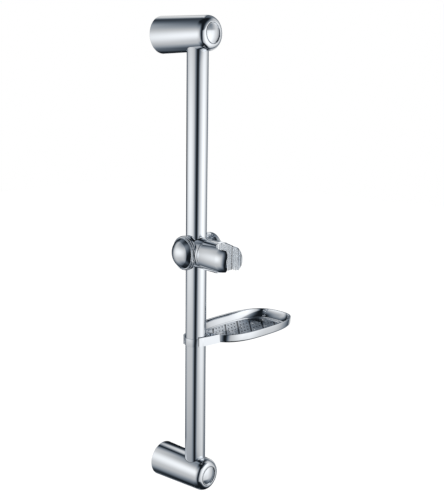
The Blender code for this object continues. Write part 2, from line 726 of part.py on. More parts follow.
def loft(name, rings):
    """Closed mesh through rings of equal count, capped at the first and the last."""
    bm = bmesh.new()
    rows = [[bm.verts.new(point) for point in ring] for ring in rings]
    count = len(rows[0])
    for lower, upper in zip(rows, rows[1:]):
        for i in range(count):
            j = (i + 1) % count
            bm.faces.new((lower[i], lower[j], upper[j], upper[i]))
    bm.faces.new(rows[0])
    bm.faces.new(rows[-1])
    bmesh.ops.recalc_face_normals(bm, faces=bm.faces)
    mesh = bpy.data.meshes.new(name)
    bm.to_mesh(mesh)
    bm.free()
    return mesh


def tray_mesh():
    """Tray section from the underside, round the outer band and the rim, to the sunken floor."""
    rim = TRAY_RIM_RISE
    floor = floor_level()
    rings = [tray_ring(TRAY_FLOOR_INSET, floor - TRAY_FLOOR), tray_ring(TRAY_BAND_INSET, rim - TRAY_BAND)]
    lip = 0.5 * TRAY_RIM_WIDTH
    for i in range(ARC_STEPS + 1):
        angle = math.pi * i / ARC_STEPS
        rings.append(tray_ring(lip - lip * math.cos(angle), rim - lip + lip * math.sin(angle)))
    slope_foot = TRAY_FLOOR_INSET - 2 * TRAY_RIDGE_RISE
    for i in range(1, ARC_STEPS + 1):
        angle = 0.5 * math.pi * i / ARC_STEPS
        inset = TRAY_RIM_WIDTH + (slope_foot - TRAY_RIM_WIDTH) * (1.0 - math.cos(angle))
        rings.append(tray_ring(inset, floor + (rim - lip - floor) * (1.0 - math.sin(angle))))
    rings.append(tray_ring(slope_foot + 0.5 * TRAY_RIDGE_RISE, floor + TRAY_RIDGE_RISE))
    rings.append(tray_ring(slope_foot + 1.5 * TRAY_RIDGE_RISE, floor + TRAY_RIDGE_RISE))
    rings.append(tray_ring(TRAY_FLOOR_INSET, floor))
    return loft("soap_dish", rings)


def on_floor(x, y):
    """Whether a point lies on the tray's flat floor, a margin inside its border ridge."""
    half_length = TRAY_HALF_LENGTH - TRAY_FLOOR_INSET - FLOOR_MARGIN
    half_width = TRAY_HALF_WIDTH - TRAY_FLOOR_INSET - FLOOR_MARGIN
    along = abs((x - tray_centre()) / half_length)
    return along ** TRAY_EXPONENT + abs(y / half_width) ** TRAY_EXPONENT < 1.0


def floor_point(foot, across):
    """Point of the floor on a slanted line, from the line's foot on the long axis and a distance across."""
    return Vector((foot + across / math.tan(math.radians(GROOVE_ANGLE_DEG)), across, floor_level()))


def groove_feet():
    """Where the grooves cross the tray's long axis."""
    first = tray_centre() - 0.5 * GROOVE_PITCH * (GROOVE_COUNT - 1)
    return [first + i * GROOVE_PITCH for i in range(GROOVE_COUNT)]


def half_floor():
    return TRAY_HALF_WIDTH - TRAY_FLOOR_INSET - FLOOR_MARGIN


def floor_grooves(parent):
    """Cutter for the blind grooves, which end along the border ridge."""
    turn = math.radians(GROOVE_ANGLE_DEG)
    size = (2 * half_floor() / math.sin(turn), GROOVE_WIDTH, 2 * GROOVE_DEPTH)
    grooves = box_cutter("soap_dish_grooves", [(floor_point(foot, 0.0), size, turn) for foot in groove_feet()], parent)
    inset = TRAY_FLOOR_INSET + FLOOR_MARGIN
    rings = [tray_ring(inset, floor_level() + side * 2 * GROOVE_DEPTH) for side in (-1, 1)]
    area = add_mesh("soap_dish_groove_area", loft("soap_dish_groove_area", rings), UPRIGHT, parent, CUTTERS)
    combine(grooves, as_cutter(area), "INTERSECT")
    return grooves


def drain_slots(parent):
    """Cutter for the short drain slots, in rows between the grooves wherever a whole slot fits."""
    turn = math.radians(GROOVE_ANGLE_DEG)
    size = (SLOT_LENGTH, SLOT_WIDTH, 4 * TRAY_FLOOR)
    row_step = 2 * half_floor() / SLOT_ROWS
    half_run = 0.5 * SLOT_LENGTH * math.sin(turn)
    boxes = []
    for groove in groove_feet()[:-1]:
        for i in range(1, SLOTS_PER_CELL + 1):
            foot = groove + GROOVE_PITCH * i / (SLOTS_PER_CELL + 1)
            for row in range(SLOT_ROWS):
                across = (row + 0.5) * row_step - half_floor()
                ends = [floor_point(foot, across + side * half_run) for side in (-1, 1)]
                if all(on_floor(end.x, end.y) for end in ends):
                    boxes.append((floor_point(foot, across), size, turn))
    return box_cutter("soap_dish_slots", boxes, parent)


def floor_studs(parent):
    """Low studs beside the grooves that keep the soap off the floor."""
    turn = math.radians(GROOVE_ANGLE_DEG)
    offset = (0.5 * GROOVE_WIDTH + STUD_RADIUS_AT_FOOT + STUD_GAP) / math.sin(turn)
    across = STUD_SPREAD * half_floor() / SLOT_ROWS
    bm = bmesh.new()
    for groove in groove_feet()[1:-1]:
        for side in (-1, 1):
            bmesh.ops.create_cone(
                bm,
                cap_ends=True,
                segments=8,
                radius1=STUD_RADIUS_AT_FOOT,
                radius2=0.5 * STUD_RADIUS_AT_FOOT,
                depth=2 * STUD_RISE,
                matrix=Matrix.Translation(floor_point(groove + offset, side * across)),
            )
    mesh = bpy.data.meshes.new("soap_dish_studs")
    bm.to_mesh(mesh)
    bm.free()
    return as_cutter(add_mesh("soap_dish_studs", mesh, UPRIGHT, parent, CUTTERS))


def arc_strap(name, inner, outer, levels, from_deg, to_deg, parent, collection):
    """C-shaped sleeve round the rail between two levels and two angles, 0 on the tray's side and 90 at the wall."""
    outline = []
    for radius, order in ((outer, 1), (inner, -1)):
        for i in range(RAIL_STEPS + 1)[::order]:
            angle = math.radians(from_deg + (to_deg - from_deg) * i / RAIL_STEPS)
            outline.append((radius * math.cos(angle), radius * math.sin(angle)))
    rings = [[Vector((x, y, z)) for x, y in outline] for z in levels]
    return add_mesh(name, loft(name, rings), UPRIGHT, parent, collection)


def clip_radius():
    """Inner radius of the dish's clip, which turns on the grip sleeve."""
    return RAIL_RADIUS + GRIP_WALL + 2 * CLEARANCE


def prong(side, start, parent):
    """Straight strap from the clip to one side of the tray, its end slanted to stay inside the tray's wall."""
    splay = math.radians(PRONG_SPLAY_DEG)
    run = Vector((math.cos(splay), side * math.sin(splay), 0.0))
    out = Vector((-math.sin(splay), side * math.cos(splay), 0.0))
    half = 0.5 * STRAP_HEIGHT
    foot, top = TRAY_OFFSET + PRONG_FOOT_OVERLAP, TRAY_OFFSET + PRONG_TOP_OVERLAP
    outline = [(start, -half), (foot, -half), (top, half), (start, half)]
    rings = []
    for radius in (clip_radius(), clip_radius() + STRAP_THICKNESS):
        points = [out * radius + run * ((x + radius * math.sin(splay)) / math.cos(splay)) for x, _ in outline]
        rings.append([point + Vector((0.0, 0.0, z)) for point, (_, z) in zip(points, outline)])
    name = "soap_dish_near_prong" if side < 0 else "soap_dish_far_prong"
    return as_cutter(add_mesh(name, loft(name, rings), UPRIGHT, parent, CUTTERS))


def soap_dish(parent):
    """Tray, prongs and rail clip as one moulding."""
    dish = shade(add_mesh("soap_dish", tray_mesh(), UPRIGHT, parent, PARTS), "dish_chrome")
    outer = clip_radius() + STRAP_THICKNESS
    levels = (-0.5 * STRAP_HEIGHT, 0.5 * STRAP_HEIGHT)
    arc = (-CLIP_NEAR_TIP_DEG, CLIP_FAR_TIP_DEG)
    clip = arc_strap("soap_dish_clip", clip_radius(), outer, levels, *arc, parent, CUTTERS)
    near_tip = outer * math.cos(math.radians(CLIP_NEAR_TIP_DEG))
    far_tangent = -outer * math.sin(math.radians(PRONG_SPLAY_DEG))
    combine(clip, prong(-1, near_tip, parent), "UNION")
    combine(clip, prong(1, far_tangent, parent), "UNION")
    combine(dish, as_cutter(clip), "UNION")
    combine(dish, floor_studs(parent), "UNION")
    cut(dish, floor_grooves(parent), drain_slots(parent))


def dish_grip(parent):
    """Thin plastic sleeve between the clip and the rail, split on the tray's side."""
    inner = RAIL_RADIUS + CLEARANCE
    levels = (-0.5 * STRAP_HEIGHT - GRIP_OVERHANG, 0.5 * STRAP_HEIGHT - GRIP_SETBACK)
    arc = (0.5 * GRIP_SPLIT_DEG, 360.0 - 0.5 * GRIP_SPLIT_DEG)
    grip = arc_strap("dish_grip", inner, inner + GRIP_WALL, levels, *arc, parent, PARTS)
    shade(grip, "grey_plastic")


def dish():
    place = add_empty("dish_axis", (0.0, -WALL_TO_RAIL, DISH_HEIGHT), DISH_TURN_DEG)
    dish_grip(place)
    soap_dish(place)


clear_scene()
PARTS = new_collection("shower_column")
CUTTERS = new_collection("cutters")
column()
slider()
dish()
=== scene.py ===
"""Looks of the shower slide rail: polished chrome on a white studio sweep, seen from the left.

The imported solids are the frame. Smooth turned and lofted surfaces stand for the faceted ones at the
same places and large sizes, with finer trim. All lengths are in metres, +Z up, the wall is the plane Y = 0.
"""
import json
import math

import bmesh
import bpy
import numpy as np
from mathutils import Matrix, Vector


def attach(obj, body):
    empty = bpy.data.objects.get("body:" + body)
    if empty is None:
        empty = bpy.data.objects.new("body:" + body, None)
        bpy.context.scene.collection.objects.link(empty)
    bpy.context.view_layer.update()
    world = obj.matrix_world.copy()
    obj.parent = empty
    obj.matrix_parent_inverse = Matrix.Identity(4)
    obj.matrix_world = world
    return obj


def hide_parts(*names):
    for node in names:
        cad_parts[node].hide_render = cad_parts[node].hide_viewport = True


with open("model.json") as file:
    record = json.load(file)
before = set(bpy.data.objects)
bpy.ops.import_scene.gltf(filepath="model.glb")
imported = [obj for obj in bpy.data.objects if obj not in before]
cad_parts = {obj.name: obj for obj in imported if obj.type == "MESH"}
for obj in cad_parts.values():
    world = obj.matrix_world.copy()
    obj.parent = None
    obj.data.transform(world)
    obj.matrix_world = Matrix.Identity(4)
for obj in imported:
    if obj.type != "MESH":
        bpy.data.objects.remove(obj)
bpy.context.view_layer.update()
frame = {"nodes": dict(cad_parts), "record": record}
nodes = frame["nodes"]

# Camera of the photograph
CAMERA_PLACE = (-0.71634544, -0.70446570, 0.47009933)
CAMERA_YAW_DEG = -49.62
CAMERA_PITCH_DEG = 11.12
CAMERA_ROLL_DEG = -0.73
CAMERA_LENS = 59.98
SENSOR_WIDTH = 36.0

# Fineness of the surfaces
TURN_STEPS = 160
RAIL_STEPS = 128
ARC_STEPS = 10
CORNER_STEPS = 4
CLEARANCE = 0.0003
EDGE = 0.0003
TINY_GAP = 0.0001
POINT_WELD = 1e-7
CUT_WELD = 2e-6
SHARP_DEG = 30.0
TURNED_SHARP_DEG = 50.0

# Rail and brackets
BRACKET_SPACING = 0.528
WALL_TO_RAIL = 0.0555
RAIL_RADIUS = 0.0125
RAIL_WALL = 0.0012
RAIL_INSERTION = 0.0135
RAIL_STOP_GAP = 0.0012
BRACKET_ROOT_RADIUS = 0.0215
BRACKET_FRONT = 0.0789
BRACKET_TAPER = 0.0267
BRACKET_WALL = 0.0028
BRACKET_ROUNDING = 0.0088
BRACKET_CAVITY = 0.0385
CAP_RADIUS = 0.0116
CAP_BEAD_WIDTH = 0.0009
CAP_BEAD_RISE = 0.0004
CAP_DOME_RISE = 0.0014
CAP_SEAT_DEPTH = 0.0030
CAP_LIP = 0.0005

# Slider: body, domed cover and lock knob
SLIDER_HEIGHT = 0.2781
SLIDER_TURN_DEG = -10.5
HUB_RADIUS = 0.0146
BARREL_RADIUS = 0.0184
BARREL_LEFT = 0.0183
BARREL_RIGHT = 0.0185
FLANGE_RADIUS = 0.0204
FLANGE_WIDTH = 0.0038
FLANGE_EDGE = 0.0009
NOSE_RADIUS = 0.0120
NOSE_LENGTH = 0.0026
STUB_RADIUS = 0.0182
STUB_LENGTH = 0.0240
BEAD_RADIUS = 0.0194
BEAD_WIDTH = 0.0008
BEAD_RISE = 0.0004
BEAD_GAP = 0.0006
BEAD_GROOVE_DEPTH = 0.0010
BELL_SLOPE_DEG = 42.0
BELL_SKIRT_SLOPE_DEG = 48.0
BELL_EDGE_SLOPE_DEG = 53.0
BELL_SKIRT = 0.0036
COVER_RADIUS = 0.0198
COVER_EDGE = 0.0008
COVER_FACE = 0.0203
COVER_DOME_RISE = 0.0107
KNOB_RADIUS = 0.0211
KNOB_EDGE = 0.0024
KNOB_FACE = 0.0242
KNOB_BACK = 0.0189
KNOB_DOME_RISE = 0.0097
SPIGOT_RADIUS = 0.0122
SPIGOT_LENGTH = 0.0022

# Handset cradle and its lining, measured along the arm from the rail's axis
RING_RADIUS = 0.0178
RING_THICKNESS = 0.0024
CRADLE_RADIUS = 0.0184
CRADLE_END_LENGTH = 0.0170
BORE_CENTRE = 0.0570
BORE_RADIUS = 0.0130
SLOT_HALF_WIDTH = 0.0092
TIP_ROUNDING = 0.0022
LINER_WALL_TOP = 0.0017
LINER_WALL_BOTTOM = 0.0029
LINER_SETBACK = 0.0014
FLUTE_COUNT = 14
FLUTE_DEPTH = 0.0010
PIVOT_WAY_RADIUS = 0.0056

# Soap dish, measured from the rail's axis
DISH_HEIGHT = 0.1700
DISH_TURN_DEG = -2.4
TRAY_OFFSET = 0.0190
TRAY_HALF_LENGTH = 0.0702
TRAY_HALF_WIDTH = 0.0404
TRAY_EXPONENT = 2.8
TRAY_STEPS = 240
TRAY_RIM_RISE = 0.0054
TRAY_BAND = 0.0100
TRAY_BAND_INSET = 0.0006
TRAY_RIM_WIDTH = 0.0018
TRAY_DEPTH = 0.0110
TRAY_FLOOR = 0.0016
TRAY_WALL_LEAN_DEG = 8.0
TRAY_WALL_FOOT_DEG = 26.0
TRAY_FILLET = 0.0015
TRAY_END_SLOPE = 1.3
TRAY_FLOOR_INSET = 0.0085
TRAY_RIDGE_RISE = 0.0012
RIDGE_STEPS = (0.0003, 0.0011, 0.0014)
RIDGE_ROUNDINGS = (0.0003, 0.0003, 0.0002)
TRAY_UNDER_ROUNDING = 0.0030
TRAY_UNDER_FLAT = 0.004
FLOOR_MARGIN = 0.0010
GROOVE_ANGLE_DEG = 45.0
GROOVE_PITCH = 0.0230
GROOVE_COUNT = 6
GROOVE_WIDTH = 0.0020
GROOVE_DEPTH = 0.0008
SLOTS_PER_CELL = 3
SLOT_ROWS = 6
SLOT_WIDTH = 0.0016
SLOT_LENGTH = 0.0046
STUD_FOOT_RADIUS = 0.0019
STUD_RISE = 0.0015
STUD_GAP = 0.0003
STUD_SPREAD = 2
STUD_STEPS = 24
RIB_PITCH = 0.0029
RIB_HEIGHT = 0.00026
RIB_VALLEY = 0.00004
# Painted shade: the dark colour painted on the bottoms of the dish's grooves
GROOVE_SHADE_COLOUR = (0.06, 0.065, 0.075, 1.0)
GRIP_WALL = 0.0006
GRIP_SETBACK = 0.0022
GRIP_OVERHANG = 0.0006
GRIP_SPLIT_DEG = 12.0
STRAP_THICKNESS = 0.0013
STRAP_HEIGHT = 0.0108
CLIP_NEAR_TIP_DEG = 121.0
CLIP_FAR_TIP_DEG = 144.0
PRONG_SPLAY_DEG = 9.0
PRONG_SETBACK = 0.00004
PRONG_TOP_OVERLAP = 0.0030
PRONG_FOOT_OVERLAP = 0.0085

# Light tent: level, azimuth, half width, soft width, elevation, half height, soft height of each softbox
TENT_CENTRE = (0.0, -0.055, 0.27)
TENT_RADIUS = 1.1
TENT_LEAN = 0.2
LEAN_REACH = 30.0
TENT_BASE = 0.014
SHADE_TINT = (0.60, 0.78, 1.0, 1.0)
WHITE_FROM = 0.55
SOFTBOXES = [
    (0.42, 148.0, 50.0, 20.0, 2.0, 48.0, 18.0),
    (0.62, 146.0, 38.0, 35.0, 5.0, 18.0, 18.0),
    (0.05, 77.0, 36.0, 19.0, 66.0, 20.0, 9.0),
    (0.16, 162.0, 45.0, 11.0, -34.0, 27.0, 17.0),
    (0.14, 61.0, 15.0, 13.0, -66.0, 27.0, 4.0),
    (0.50, -82.0, 39.0, 14.0, -11.0, 35.0, 3.0),
    (0.80, -71.0, 21.0, 33.0, -1.0, 32.0, 28.0),
    (0.65, -31.0, 15.0, 24.0, 0.0, 50.0, 12.0),
    (0.20, 0.0, 27.0, 30.0, 41.0, 40.0, 25.0),
    (0.70, 48.0, 12.0, 12.0, 45.0, 31.0, 10.0),
    (0.17, 88.0, 24.0, 15.0, -25.0, 11.0, 20.0),
    (0.26, 94.0, 13.0, 10.0, 30.0, 15.0, 10.0),
    (0.60, 20.0, 16.0, 6.0, -16.0, 21.0, 10.0),
]

# Floor
FLOOR_HEIGHT = -0.85
FLOOR_HALF = 8.0
FLOOR_GLOW = 0.25
FLOOR_COLOUR = (0.82, 0.82, 0.82, 1.0)

TO_ROOM = Matrix.Rotation(math.radians(90), 4, "X")
TO_LEFT = Matrix.Rotation(math.radians(-90), 4, "Y")
TO_RIGHT = Matrix.Rotation(math.radians(90), 4, "Y")
RAIL_PLACE = Matrix.Translation((0.0, -WALL_TO_RAIL, 0.0))
SLIDER_PLACE = Matrix.Translation((0.0, -WALL_TO_RAIL, SLIDER_HEIGHT)) @ Matrix.Rotation(
    math.radians(SLIDER_TURN_DEG), 4, "Z"
)
DISH_PLACE = Matrix.Translation((0.0, -WALL_TO_RAIL, DISH_HEIGHT)) @ Matrix.Rotation(
    math.radians(DISH_TURN_DEG), 4, "Z"
)


# Surfaces
def grid_mesh(name, points, wrap_rows=True, wrap_columns=False):
    """Mesh of a grid of points: quads join each row to the next and each column to the next."""
    rows, columns = points.shape[:2]
    index = np.arange(rows * columns).reshape(rows, columns)
    if wrap_rows:
        index = np.vstack([index, index[:1]])
    if wrap_columns:
        index = np.hstack([index, index[:, :1]])
    quads = np.stack([index[:-1, :-1], index[1:, :-1], index[1:, 1:], index[:-1, 1:]], axis=-1)
    mesh = bpy.data.meshes.new(name)
    mesh.from_pydata(points.reshape(-1, 3).tolist(), [], quads.reshape(-1, 4).tolist())
    return mesh


def add_piece(name, mesh, place=None):
    """Object of a closed mesh, welded, facing outwards, with its place in its vertices."""
    bm = bmesh.new()
    bm.from_mesh(mesh)
    bmesh.ops.remove_doubles(bm, verts=bm.verts, dist=POINT_WELD)
    bmesh.ops.recalc_face_normals(bm, faces=bm.faces)
    bm.to_mesh(mesh)
    bm.free()
    if place is not None:
        mesh.transform(place)
    piece = bpy.data.objects.new(name, mesh)
    bpy.context.scene.collection.objects.link(piece)
    return piece


def smoothed(piece, angle_deg=SHARP_DEG):
    """The piece mended where cuts left doubled points or holes, and shaded smooth but for its sharp edges."""
    bm = bmesh.new()
    bm.from_mesh(piece.data)
    bmesh.ops.remove_doubles(bm, verts=bm.verts, dist=CUT_WELD)
    bmesh.ops.dissolve_degenerate(bm, edges=bm.edges, dist=POINT_WELD)
    bmesh.ops.delete(bm, geom=[edge for edge in bm.edges if edge.is_wire], context="EDGES")
    bmesh.ops.holes_fill(bm, edges=[edge for edge in bm.edges if edge.is_boundary], sides=0)
    bm.to_mesh(piece.data)
    bm.free()
    piece.data.validate()
    piece.data.shade_smooth()
    piece.data.set_sharp_from_angle(angle=math.radians(angle_deg))
    return piece


def turned(name, profile, place, steps=TURN_STEPS, closed=False):
    """Surface of revolution: a profile point (r, h) goes to (r cos t, r sin t, h), t in equal steps round."""
    radius, height = np.asarray(profile, float).T
    t = np.linspace(0.0, 2 * np.pi, steps, endpoint=False)[:, None]
    points = np.stack([radius * np.cos(t), radius * np.sin(t), height + 0.0 * t], axis=-1)
    return add_piece(name, grid_mesh(name, points, wrap_columns=closed), place)


def rounded(corners, radii, closed=False, steps=CORNER_STEPS):
    """Outline with each corner replaced by an arc that touches both its sides.

    An arc of radius r starts r / tan(half the corner's angle) from the corner, and its points are the
    centre plus r times a unit vector swung evenly from one side's normal to the other's.
    """
    corners = np.asarray(corners, float)
    count = len(corners)
    outline = []
    for i, radius in enumerate(radii):
        here = corners[i]
        if radius == 0.0 or (not closed and i in (0, count - 1)):
            outline.append(here[None])
            continue
        back = corners[i - 1] - here
        ahead = corners[(i + 1) % count] - here
        back, ahead = back / np.linalg.norm(back), ahead / np.linalg.norm(ahead)
        half = 0.5 * math.acos(float(np.clip(back @ ahead, -1.0, 1.0)))
        middle = back + ahead
        centre = here + middle / np.linalg.norm(middle) * radius / math.sin(half)
        first = (here + back * radius / math.tan(half) - centre) / radius
        last = (here + ahead * radius / math.tan(half) - centre) / radius
        turn = math.pi - 2 * half
        share = np.linspace(0.0, 1.0, steps + 1)[:, None]
        swing = (np.sin((1 - share) * turn) * first + np.sin(share * turn) * last) / math.sin(turn)
        outline.append(centre + radius * swing)
    return np.concatenate(outline)


def quarter_arc(radius_from, height_from, radius_to, height_to, steps=ARC_STEPS):
    """Quarter ellipse that leaves its first point sideways and reaches its last going down."""
    t = 0.5 * np.pi * np.linspace(0.0, 1.0, steps + 1)[:, None]
    radius = radius_from + (radius_to - radius_from) * np.sin(t)
    height = height_to + (height_from - height_to) * np.cos(t)
    return np.hstack([radius, height])


def lens(base_radius, base, top, steps):
    """Arc of a sphere from its top down to a base circle: r = R sin t, h = top - R (1 - cos t)."""
    rise = top - base
    sphere = (base_radius ** 2 + rise ** 2) / (2 * rise)
    t = np.linspace(0.0, math.asin(base_radius / sphere), steps + 1)
    return np.column_stack([sphere * np.sin(t), top - sphere * (1.0 - np.cos(t))])


def bell(base_radius, skirt, top, steps):
    """Dome of two arcs: a ball's top down to the slope BELL_SLOPE, then a steeper, nearly straight skirt.

    On each arc r grows by R (sin t - sin t0) and h falls by R (cos t0 - cos t), where t is the slope.
    """
    first, last = math.radians(BELL_SLOPE_DEG), math.radians(BELL_EDGE_SLOPE_DEG)
    ball = (base_radius - skirt) / math.sin(first)
    t = np.linspace(0.0, first, 2 * steps + 1)
    upper = np.column_stack([ball * np.sin(t), top - ball * (1.0 - np.cos(t))])
    first = math.radians(BELL_SKIRT_SLOPE_DEG)
    flare = skirt / (math.sin(last) - math.sin(first))
    t = np.linspace(first, last, steps + 1)[1:]
    lower = np.column_stack([upper[-1, 0] + flare * (np.sin(t) - math.sin(first)),
                             upper[-1, 1] - flare * (math.cos(first) - np.cos(t))])
    return np.vstack([upper, lower])


def combined(piece, tools, operation):
    """The piece with each tool cut from it or joined to it; the tools are used up."""
    for tool in tools:
        boolean = piece.modifiers.new(operation.title(), "BOOLEAN")
        boolean.operation = operation
        boolean.solver = "EXACT"
        boolean.object = tool
    bpy.context.view_layer.update()
    evaluated = piece.evaluated_get(bpy.context.evaluated_depsgraph_get())
    mesh = bpy.data.meshes.new_from_object(evaluated)
    piece.modifiers.clear()
    old, piece.data = piece.data, mesh
    bpy.data.meshes.remove(old)
    mesh.name = piece.name
    for tool in tools:
        bpy.data.objects.remove(tool)
    return piece


def cut(piece, *tools):
    return combined(piece, tools, "DIFFERENCE")


def joined(piece, *tools):
    return combined(piece, tools, "UNION")


def rod(radius, low, high):
    """Profile of a solid cylinder between two heights."""
    return [(0.0, high), (radius, high), (radius, low), (0.0, low)]


def prism(name, outline, levels, place):
    """Upright walls through a flat outline of (x, y) points, closed by a fan at each level."""
    outline = np.asarray(outline, float)
    middle = outline.mean(axis=0)
    shares = (0.0, 1.0, 1.0, 0.0)
    heights = (levels[0], levels[0], levels[1], levels[1])
    rings = [np.column_stack([middle + share * (outline - middle), np.full(len(outline), z)])
             for share, z in zip(shares, heights)]
    return add_piece(name, grid_mesh(name, np.stack(rings, axis=1)), place)


# Wall brackets and rail
def bracket_radius(distance):
    return BRACKET_ROOT_RADIUS - BRACKET_TAPER * distance


def rail_tube():
    inner = RAIL_RADIUS - RAIL_WALL
    low, high = -RAIL_INSERTION, BRACKET_SPACING + RAIL_INSERTION
    corners = [(inner, high), (RAIL_RADIUS, high), (RAIL_RADIUS, low), (inner, low)]
    profile = rounded(corners, [EDGE] * 4, closed=True)
    return smoothed(turned("rail", profile, RAIL_PLACE, RAIL_STEPS, closed=True))


def bracket(name, height, far_side):
    """Tapered sleeve with a rounded front, a seat for the cap, a rear cavity and a bore for the rail."""
    seat = CAP_RADIUS + CLEARANCE
    lip = seat + CAP_LIP
    shoulder = BRACKET_FRONT - BRACKET_ROUNDING
    cavity = bracket_radius(BRACKET_CAVITY) - BRACKET_WALL
    front = quarter_arc(lip, BRACKET_FRONT, bracket_radius(shoulder), shoulder)
    back = rounded(
        [front[-1], (BRACKET_ROOT_RADIUS, 0.0), (BRACKET_ROOT_RADIUS - BRACKET_WALL, 0.0),
         (cavity, BRACKET_CAVITY), (0.0, BRACKET_CAVITY)],
        [0.0, 2 * EDGE, EDGE, EDGE, 0.0],
    )
    floor = BRACKET_FRONT - CAP_SEAT_DEPTH
    seat_edge = rounded([(0.0, floor), (seat, floor), (seat, BRACKET_FRONT), tuple(front[0])],
                        [0.0, 0.0, EDGE, 0.0])
    profile = np.concatenate([seat_edge[:-1], front, back[1:]])
    body = turned(name, profile, Matrix.Translation((0.0, 0.0, height)) @ TO_ROOM)
    stop = RAIL_INSERTION + 2 * CLEARANCE + RAIL_STOP_GAP
    reach = 2 * BRACKET_ROOT_RADIUS
    low, high = (-stop, reach) if far_side < 0 else (-reach, stop)
    place = Matrix.Translation((0.0, -WALL_TO_RAIL, height))
    bore = turned(name + "_bore", rod(RAIL_RADIUS + CLEARANCE, low, high), place, RAIL_STEPS)
    return smoothed(cut(body, bore))


def bracket_cap(name, height):
    """Cap with a rounded bead round its edge and a shallow dome inside the bead."""
    bead_inner = CAP_RADIUS - CAP_BEAD_WIDTH
    groove = BRACKET_FRONT - CAP_BEAD_RISE
    dome = lens(bead_inner - 0.5 * CAP_BEAD_RISE, groove, BRACKET_FRONT + CAP_DOME_RISE, 2 * ARC_STEPS)
    bead = 0.5 * CAP_BEAD_WIDTH
    t = np.linspace(np.pi, 0.0, ARC_STEPS + 1)
    crest = np.column_stack([bead_inner + bead + bead * np.cos(t), groove + 2 * CAP_BEAD_RISE * np.sin(t)])
    back = BRACKET_FRONT - CAP_SEAT_DEPTH + CLEARANCE
    profile = np.concatenate([dome, crest, [(CAP_RADIUS, back), (0.0, back)]])
    return smoothed(turned(name, profile, Matrix.Translation((0.0, 0.0, height)) @ TO_ROOM), TURNED_SHARP_DEG)


# Slider
def domed_face(face, dome_rise, rim_radius, edge):
    """Outer side of a round end: dome, groove, half-round bead and rounded edge."""
    bead_inner = BEAD_RADIUS - BEAD_WIDTH
    groove = face - BEAD_GROOVE_DEPTH
    dome = bell(bead_inner - BEAD_GAP, BELL_SKIRT, face + dome_rise, 3 * ARC_STEPS)
    dome = np.vstack([dome, (dome[-1, 0] + TINY_GAP, groove)])
    bead = 0.5 * BEAD_WIDTH
    t = np.linspace(np.pi, 0.0, 2 * ARC_STEPS + 1)
    crest = np.column_stack([bead_inner + bead + bead * np.cos(t),
                             groove + (BEAD_GROOVE_DEPTH + BEAD_RISE) * np.sin(t)])
    rim = quarter_arc(BEAD_RADIUS + TINY_GAP, face, rim_radius, face - edge)
    return np.concatenate([dome, crest, rim])


def domed_cover():
    back = BARREL_LEFT + CLEARANCE
    spigot_end = back - SPIGOT_LENGTH
    closing = [(COVER_RADIUS, back), (SPIGOT_RADIUS, back), (SPIGOT_RADIUS, spigot_end), (0.0, spigot_end)]
    profile = np.concatenate([domed_face(COVER_FACE, COVER_DOME_RISE, COVER_RADIUS, COVER_EDGE), closing])
    return smoothed(turned("domed_cover", profile, SLIDER_PLACE @ TO_LEFT), TURNED_SHARP_DEG)


def turning_knob():
    recess = NOSE_RADIUS + CLEARANCE
    closing = [(KNOB_RADIUS, KNOB_BACK), (recess, KNOB_BACK), (recess, KNOB_BACK + NOSE_LENGTH),
               (0.0, KNOB_BACK + NOSE_LENGTH)]
    profile = np.concatenate([domed_face(KNOB_FACE, KNOB_DOME_RISE, KNOB_RADIUS, KNOB_EDGE), closing])
    return smoothed(turned("turning_knob", profile, SLIDER_PLACE @ TO_RIGHT), TURNED_SHARP_DEG)


def slider_casting():
    """Barrel across the rail, flanged on the left, joined to the stub that carries the cradle."""
    nose_end = BARREL_RIGHT + NOSE_LENGTH
    flange_start = FLANGE_WIDTH - BARREL_LEFT
    corners = [(0.0, nose_end), (NOSE_RADIUS, nose_end), (NOSE_RADIUS, BARREL_RIGHT),
               (BARREL_RADIUS, BARREL_RIGHT), (BARREL_RADIUS, flange_start), (FLANGE_RADIUS, flange_start),
               (FLANGE_RADIUS, -BARREL_LEFT), (0.0, -BARREL_LEFT)]
    radii = [0.0, EDGE, 0.0, 2 * EDGE, FLANGE_EDGE, FLANGE_EDGE, FLANGE_EDGE, 0.0]
    barrel = turned("slider_casting", rounded(corners, radii), SLIDER_PLACE @ TO_RIGHT)
    stub_profile = rounded([(0.0, STUB_LENGTH), (STUB_RADIUS, STUB_LENGTH), (STUB_RADIUS, 0.0), (0.0, 0.0)],
                           [0.0, EDGE, 0.0, 0.0])
    stub = turned("stub", stub_profile, SLIDER_PLACE @ TO_ROOM)
    hub = turned("hub_way", rod(HUB_RADIUS, -2 * BARREL_RADIUS, 2 * BARREL_RADIUS), SLIDER_PLACE, RAIL_STEPS)
    seat = rod(SPIGOT_RADIUS + CLEARANCE, BARREL_LEFT - SPIGOT_LENGTH, 2 * BARREL_LEFT)
    return smoothed(cut(joined(barrel, stub), hub, turned("cover_seat", seat, SLIDER_PLACE @ TO_LEFT)))


def cradle_form(name, setback=0.0):
    """Round bar along the arm with a domed end, or the same form set back inside it."""
    start = STUB_LENGTH + RING_THICKNESS + 2 * CLEARANCE
    radius = CRADLE_RADIUS - setback
    end = quarter_arc(0.0, BORE_CENTRE + CRADLE_END_LENGTH - setback, radius, BORE_CENTRE, 3 * ARC_STEPS)
    foot = rounded([tuple(end[-1]), (radius, start), (0.0, start)], [0.0, EDGE, 0.0])
    return turned(name, np.concatenate([end, foot[1:]]), SLIDER_PLACE @ TO_ROOM)


